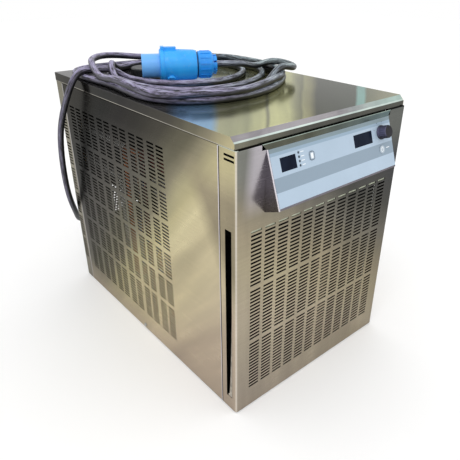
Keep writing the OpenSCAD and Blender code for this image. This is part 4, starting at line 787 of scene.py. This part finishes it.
class OBJECT_OT_chiller_stage(bpy.types.Operator):
    """Camera, lamps, world and floor"""
    bl_idname = "object.chiller_stage"
    bl_label = "Stage"

    def execute(self, context):
        scene = context.scene
        camera_data = bpy.data.cameras.new("Camera")
        camera_data.sensor_width = 36.0
        camera_data.lens = CAMERA_LENS
        camera_data.shift_x, camera_data.shift_y = CAMERA_SHIFT
        camera = linked("Camera", camera_data)
        azimuth, elevation, roll = (math.radians(a) for a in CAMERA_TURN)
        back = Vector((math.sin(azimuth) * math.cos(elevation), -math.cos(azimuth) * math.cos(elevation),
                       math.sin(elevation)))
        right = Vector((math.cos(azimuth), math.sin(azimuth), 0))
        up = back.cross(right)
        turned_right = right * math.cos(roll) + up * math.sin(roll)
        turned_up = up * math.cos(roll) - right * math.sin(roll)
        pose = Matrix((turned_right, turned_up, back)).transposed().to_4x4()
        pose.translation = Vector(CAMERA_PLACE)
        camera.matrix_world = pose
        scene.camera = camera
        camera_data.clip_start = 0.05
        scene.view_settings.view_transform = "Standard"

        world = bpy.data.worlds.new("Studio")
        scene.world = world
        world.use_nodes = True
        light = world.node_tree.nodes["Background"]
        light.inputs["Color"].default_value = (1, 1, 1, 1)
        light.inputs["Strength"].default_value = 1.0

        for name, place, size, power in LAMPS:
            lamp_data = bpy.data.lights.new(name, "AREA")
            lamp_data.size = size
            lamp_data.energy = power
            lamp = linked(name, lamp_data)
            lamp.location = place
            lamp.rotation_euler = (LAMP_AIM - Vector(place)).to_track_quat("-Z", "Y").to_euler()

        half = scene.chiller_sizes.floor_size / 2 / MM
        points = [(-half, -half, -0.5), (half, -half, -0.5), (half, half, -0.5), (-half, half, -0.5)]
        mesh = mesh_of("Floor", points, [(0, 1, 2, 3)])
        floor = linked("Floor", mesh)
        mat, surface, place = finish_material("Pale paper floor", Roughness=0.9, Emission_Strength=0.05)
        surface.inputs["Emission Color"].default_value = (1, 1, 1, 1)
        paper = ramp(mat, grain(mat, place, 3), [(0.3, scene.chiller_colours.floor), (0.7, "#fcfcfc")])
        join(mat, paper, surface, "Base Color")
        mesh.materials.append(mat)
        return {"FINISHED"}


class OBJECT_OT_chiller_lead(bpy.types.Operator):
    """Supply lead: one curve from the rear gland through its turns on the lid to the plug"""
    bl_idname = "object.chiller_lead"
    bl_label = "Supply lead"

    def execute(self, context):
        line = lead_line()
        curve = bpy.data.curves.new("Supply_lead", "CURVE")
        curve.dimensions = "3D"
        spline = curve.splines.new("BEZIER")
        spline.bezier_points.add(len(line) - 1)
        for knot, p in zip(spline.bezier_points, line):
            knot.co = Vector(p) * MM
            knot.handle_left_type = knot.handle_right_type = "AUTO"
        spline.resolution_u = 2
        curve.bevel_depth = context.scene.chiller_sizes.lead_diameter / 2
        curve.bevel_resolution = 5
        curve.use_fill_caps = True
        lead = linked("Supply_lead_cord", curve)
        length = float(np.linalg.norm(np.diff(line, axis=0), axis=1).sum()) * MM
        curve.materials.append(scuffed_rubber("Rubber sheath, scuffed", length))
        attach(lead, "chassis")
        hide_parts("supply_lead", "supply_coil", "supply_tail")
        return {"FINISHED"}


class OBJECT_OT_chiller_finishes(bpy.types.Operator):
    """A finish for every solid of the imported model"""
    bl_idname = "object.chiller_finishes"
    bl_label = "Finishes"

    def execute(self, context):
        black = moulded_plastic("Black moulded nylon", "#26272a", "#17181a", 0.42)
        # The zinc inside is coloured dark as painted shade
        zinc = shaded_galvanised_sheet("Galvanised sheet, painted shade")
        copper = plain_metal("Drawn copper tube", "#b9744a", "#8a4c2e", 0.28)
        steel = plain_metal("Pressed stainless", "#b7b9ba", "#979a9c", 0.32)
        brass = plain_metal("Machined brass", "#c2a254", "#9b7d35", 0.28)
        bright = plain_metal("Polished steel screw", "#c9c9c6", "#a2a29e", 0.22)
        foam = open_foam("Open-cell foam")
        dark = painted_steel("Black enamelled steel", "#232427", "#151618")
        finishes = {
            "front_panel": front_sheet("Brushed stainless, front"),
            "left_side_panel": side_sheet("Brushed stainless, side"),
            "rear_panel": rear_sheet("Brushed stainless, rear"),
            "top_lid": lid_sheet("Brushed stainless, lid"),
            "console_housing": console_sheet("Brushed stainless, console"),
            "console_overlay": printed_overlay("Printed polyester film"),
            "left_display": display_window("Tinted acrylic window"),
            "status_leds": moulded_plastic("Unlit lamp lens", "#3a4450", "#2a323c", 0.2),
            "select_key": moulded_plastic("Pale silicone key", "#aebccb", "#a1b0bf", 0.45),
            "power_key": moulded_plastic("Grey silicone key", "#b3c0cb", "#a5b3bf", 0.45),
            "control_board": painted_steel("Green circuit board", "#2f6b3c", "#23522e", 0.4),
            "control_knob": soft_knob("Soft-touch knob"),
            "knob_shaft": bright,
            "condenser_fins": fin_stack("Aluminium fins"),
            "filter_foam": foam,
            "tank_foam": foam,
            "compressor_shell": dark,
            "fan_motor": dark,
            "pump_motor": painted_steel("Blue motor enamel", "#41618c", "#34507a"),
            "water_hoses": braided_hose("Braided hose"),
            "wiring_loom": coloured_wires("Wire insulation"),
            "drain_lever": moulded_plastic("Red dipped lever", "#b02a22", "#8e1d17", 0.35),
            "plug_shell": plug_plastic("Azure polyamide"),
            "plug_nut": plug_plastic("Azure polyamide, nut", "#2ba4fa", "#1f92ee"),
            "panel_screws": bright,
            "compressor_grommets": moulded_plastic("Black rubber", "#242426", "#161617", 0.6),
        }
        finishes["right_side_panel"] = finishes["left_side_panel"]
        finishes["right_display"] = finishes["left_display"]
        groups = (
            (bright, ("filter_guides",)),
            (zinc, ("base_pan", "frame_posts", "condenser_duct", "fan_shroud", "tank_stand",
                    "pump_cradle", "electrical_box")),
            (copper, ("condenser_tubes", "suction_line", "discharge_line", "liquid_line")),
            (steel, ("evaporator", "reservoir_tank", "reservoir_cover", "pump_rotor")),
            (brass, ("expansion_valve", "pump_head", "process_fittings", "drain_valve", "plug_pins")),
            (black, ("encoder_body", "filler_cap", "terminal_cover", "fan_blades", "main_breaker", "breaker_rocker",
                     "cable_gland", "filter_frame")),
        )
        finishes.update((name, mat) for mat, names in groups for name in names)
        replaced = {"supply_lead", "supply_coil", "supply_tail"}
        missing = set(SOLIDS) - set(finishes) - replaced
        if missing:
            raise RuntimeError("no finish for " + ", ".join(sorted(missing)))
        for name, mat in finishes.items():
            obj = SOLIDS[name]
            if not obj.material_slots:
                obj.data.materials.append(mat)
            for slot in obj.material_slots:
                slot.material = mat
        edge = context.scene.chiller_sizes.edge_round
        for name in ("top_lid", "console_housing", "control_knob", "filler_cap", "plug_shell", "plug_nut"):
            rounding = SOLIDS[name].modifiers.new("Folded edges", "BEVEL")
            rounding.width = edge
            rounding.segments = 2
            rounding.limit_method = "ANGLE"
            rounding.angle_limit = math.radians(38)
        return {"FINISHED"}


class OBJECT_OT_chiller_console_marks(bpy.types.Operator):
    """Plain printed marks, key rings and lamp bezels on the console"""
    bl_idname = "object.chiller_console_marks"
    bl_label = "Console marks"

    def execute(self, context):
        colours = context.scene.chiller_colours
        pale = plain_mark("Pale screen print", colours.print_light)
        dark = plain_mark("Dark screen print", colours.print_dark)
        radius = context.scene.chiller_sizes.tick_radius / MM
        knob_x, knob_d = 110.6, 23
        for k, angle in enumerate((200, 245, 290, 335)):
            a = math.radians(angle)
            x, d = knob_x + radius * math.cos(a), knob_d + radius * math.sin(a)
            face_plate("Knob_tick_%d" % (k + 1), round_outline(x, d, 0.8, 16), dark, ON_FILM)
        select = (-52.5, 25)
        ring_plate("Select_key_border", rounded_outline(*select, 9.9, 12.3, 2.9),
                   rounded_outline(*select, 8.1, 10.5, 2.2), dark, ON_SELECT_KEY)
        for k, drop in enumerate((15.3, 21.3, 27.3, 33.3)):
            ring_plate("Lamp_bezel_%d" % (k + 1), round_outline(-77.3, drop, 1.9, 24),
                       round_outline(-77.3, drop, 1.3, 24), dark, ON_FILM)
            face_plate("Lamp_bar_%d" % (k + 1), rounded_outline(-70.2, drop, 6.4, 1.1, 0.5), pale, ON_FILM)
        face_plate("Power_bar", rounded_outline(123.5, 49.2, 8.4, 1.3, 0.6), pale, ON_FILM)
        outer, inner = (round_outline(108, 50, r, 32, -60, 300) for r in (3.6, 2.7))
        ring_plate("Power_key_ring", outer, inner, pale, ON_POWER_KEY)
        face_plate("Power_key_stroke", rounded_outline(108, 47.2, 0.9, 4.4, 0.4), pale, ON_POWER_KEY)
        face_plate("Select_key_mark", rounded_outline(*select, 4.6, 7.6, 0.9), pale, ON_SELECT_KEY)
        return {"FINISHED"}


class OBJECT_OT_chiller_filter_end(bpy.types.Operator):
    """Pale end strip of the filter, seen in its slot: a narrow wedge that widens downwards, with a foot and a web
    back to the filter's frame"""
    bl_idname = "object.chiller_filter_end"
    bl_label = "Filter end"

    def execute(self, context):
        mat = plain_metal("Bent filter end", "#b9b2a6", "#8f897f", 0.34)
        low = Vector(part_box("filter_frame")[0]) / MM
        outer, inner, front, web = -183.6, -182.6, low.y + 0.1, 0.8
        wedge = [(front, 190), (front + 0.9, 150), (front + 2.4, 100), (front + 4.6, 52), (front + 6.2, 33),
                 (front + 9.4, 29.5), (front + 9.4, 26.5), (front, 26.5)]
        joint = [(front, 190), (front + web, 190), (front + web, 26.5), (front, 26.5)]
        points, faces = [], []
        for outline, left, right in ((wedge, outer, inner), (joint, inner, low.x - 0.05)):
            body, sides = prism([(left, y, z) for y, z in outline], [(right, y, z) for y, z in outline])
            faces += [tuple(k + len(points) for k in side) for side in sides]
            points += body
        made_object("Filter_end_strip", mesh_of("Filter_end_strip", points, faces), mat, FILTER_BODY)
        return {"FINISHED"}


class OBJECT_OT_chiller_slot_backing(bpy.types.Operator):
    """Pale folded stiffener behind the top row of the front slots: an upstand with a lip turned back at each edge;
    its pale colour, far lighter than the zinc inside, is a painted highlight seen through the slots.
    """
    bl_idname = "object.chiller_slot_backing"
    bl_label = "Slot backing"

    def execute(self, context):
        # Painted highlight: this stiffener is coloured much paler than the zinc elsewhere inside
        mat = plain_metal("Pale zinc stiffener, painted highlight", "#c6cbb8", "#b6bba8", 0.6)
        front, thick, lip = FRONT_Y + 1.15, 0.9, 3.4
        low, high, half_width = 329.3, 337.0, 158.5
        profile = [(front, low), (front, high), (front + lip, high), (front + lip, high - thick),
                   (front + thick, high - thick), (front + thick, low + thick), (front + lip, low + thick),
                   (front + lip, low)]
        points, faces = prism([(-half_width, y, z) for y, z in profile], [(half_width, y, z) for y, z in profile])
        made_object("Front_stiffener", mesh_of("Front_stiffener", points, faces), mat, "chassis")
        return {"FINISHED"}


class VIEW3D_PT_chiller(bpy.types.Panel):
    """Lists the chiller's steps and sizes"""
    bl_label = "Chiller"
    bl_space_type = "VIEW_3D"
    bl_region_type = "UI"
    bl_category = "Chiller"

    def draw(self, context):
        for operator in OPERATORS:
            self.layout.operator(operator.bl_idname)
        for group in (context.scene.chiller_sizes, context.scene.chiller_colours):
            for key in group.bl_rna.properties.keys():
                if key not in ("rna_type", "name"):
                    self.layout.prop(group, key)


OPERATORS = (OBJECT_OT_chiller_stage, OBJECT_OT_chiller_lead, OBJECT_OT_chiller_finishes,
             OBJECT_OT_chiller_console_marks, OBJECT_OT_chiller_filter_end, OBJECT_OT_chiller_slot_backing)
CLASSES = (ChillerSizes, ChillerColours, *OPERATORS, VIEW3D_PT_chiller)


def register():
    for item in CLASSES:
        bpy.utils.register_class(item)
    bpy.types.Scene.chiller_sizes = bpy.props.PointerProperty(type=ChillerSizes)
    bpy.types.Scene.chiller_colours = bpy.props.PointerProperty(type=ChillerColours)


def unregister():
    del bpy.types.Scene.chiller_colours
    del bpy.types.Scene.chiller_sizes
    for item in reversed(CLASSES):
        bpy.utils.unregister_class(item)


def main():
    register()
    bpy.ops.object.chiller_stage()
    bpy.ops.object.chiller_lead()
    bpy.ops.object.chiller_finishes()
    bpy.ops.object.chiller_console_marks()
    bpy.ops.object.chiller_filter_end()
    bpy.ops.object.chiller_slot_backing()
    bpy.context.view_layer.update()


if __name__ == "__main__":
    main()
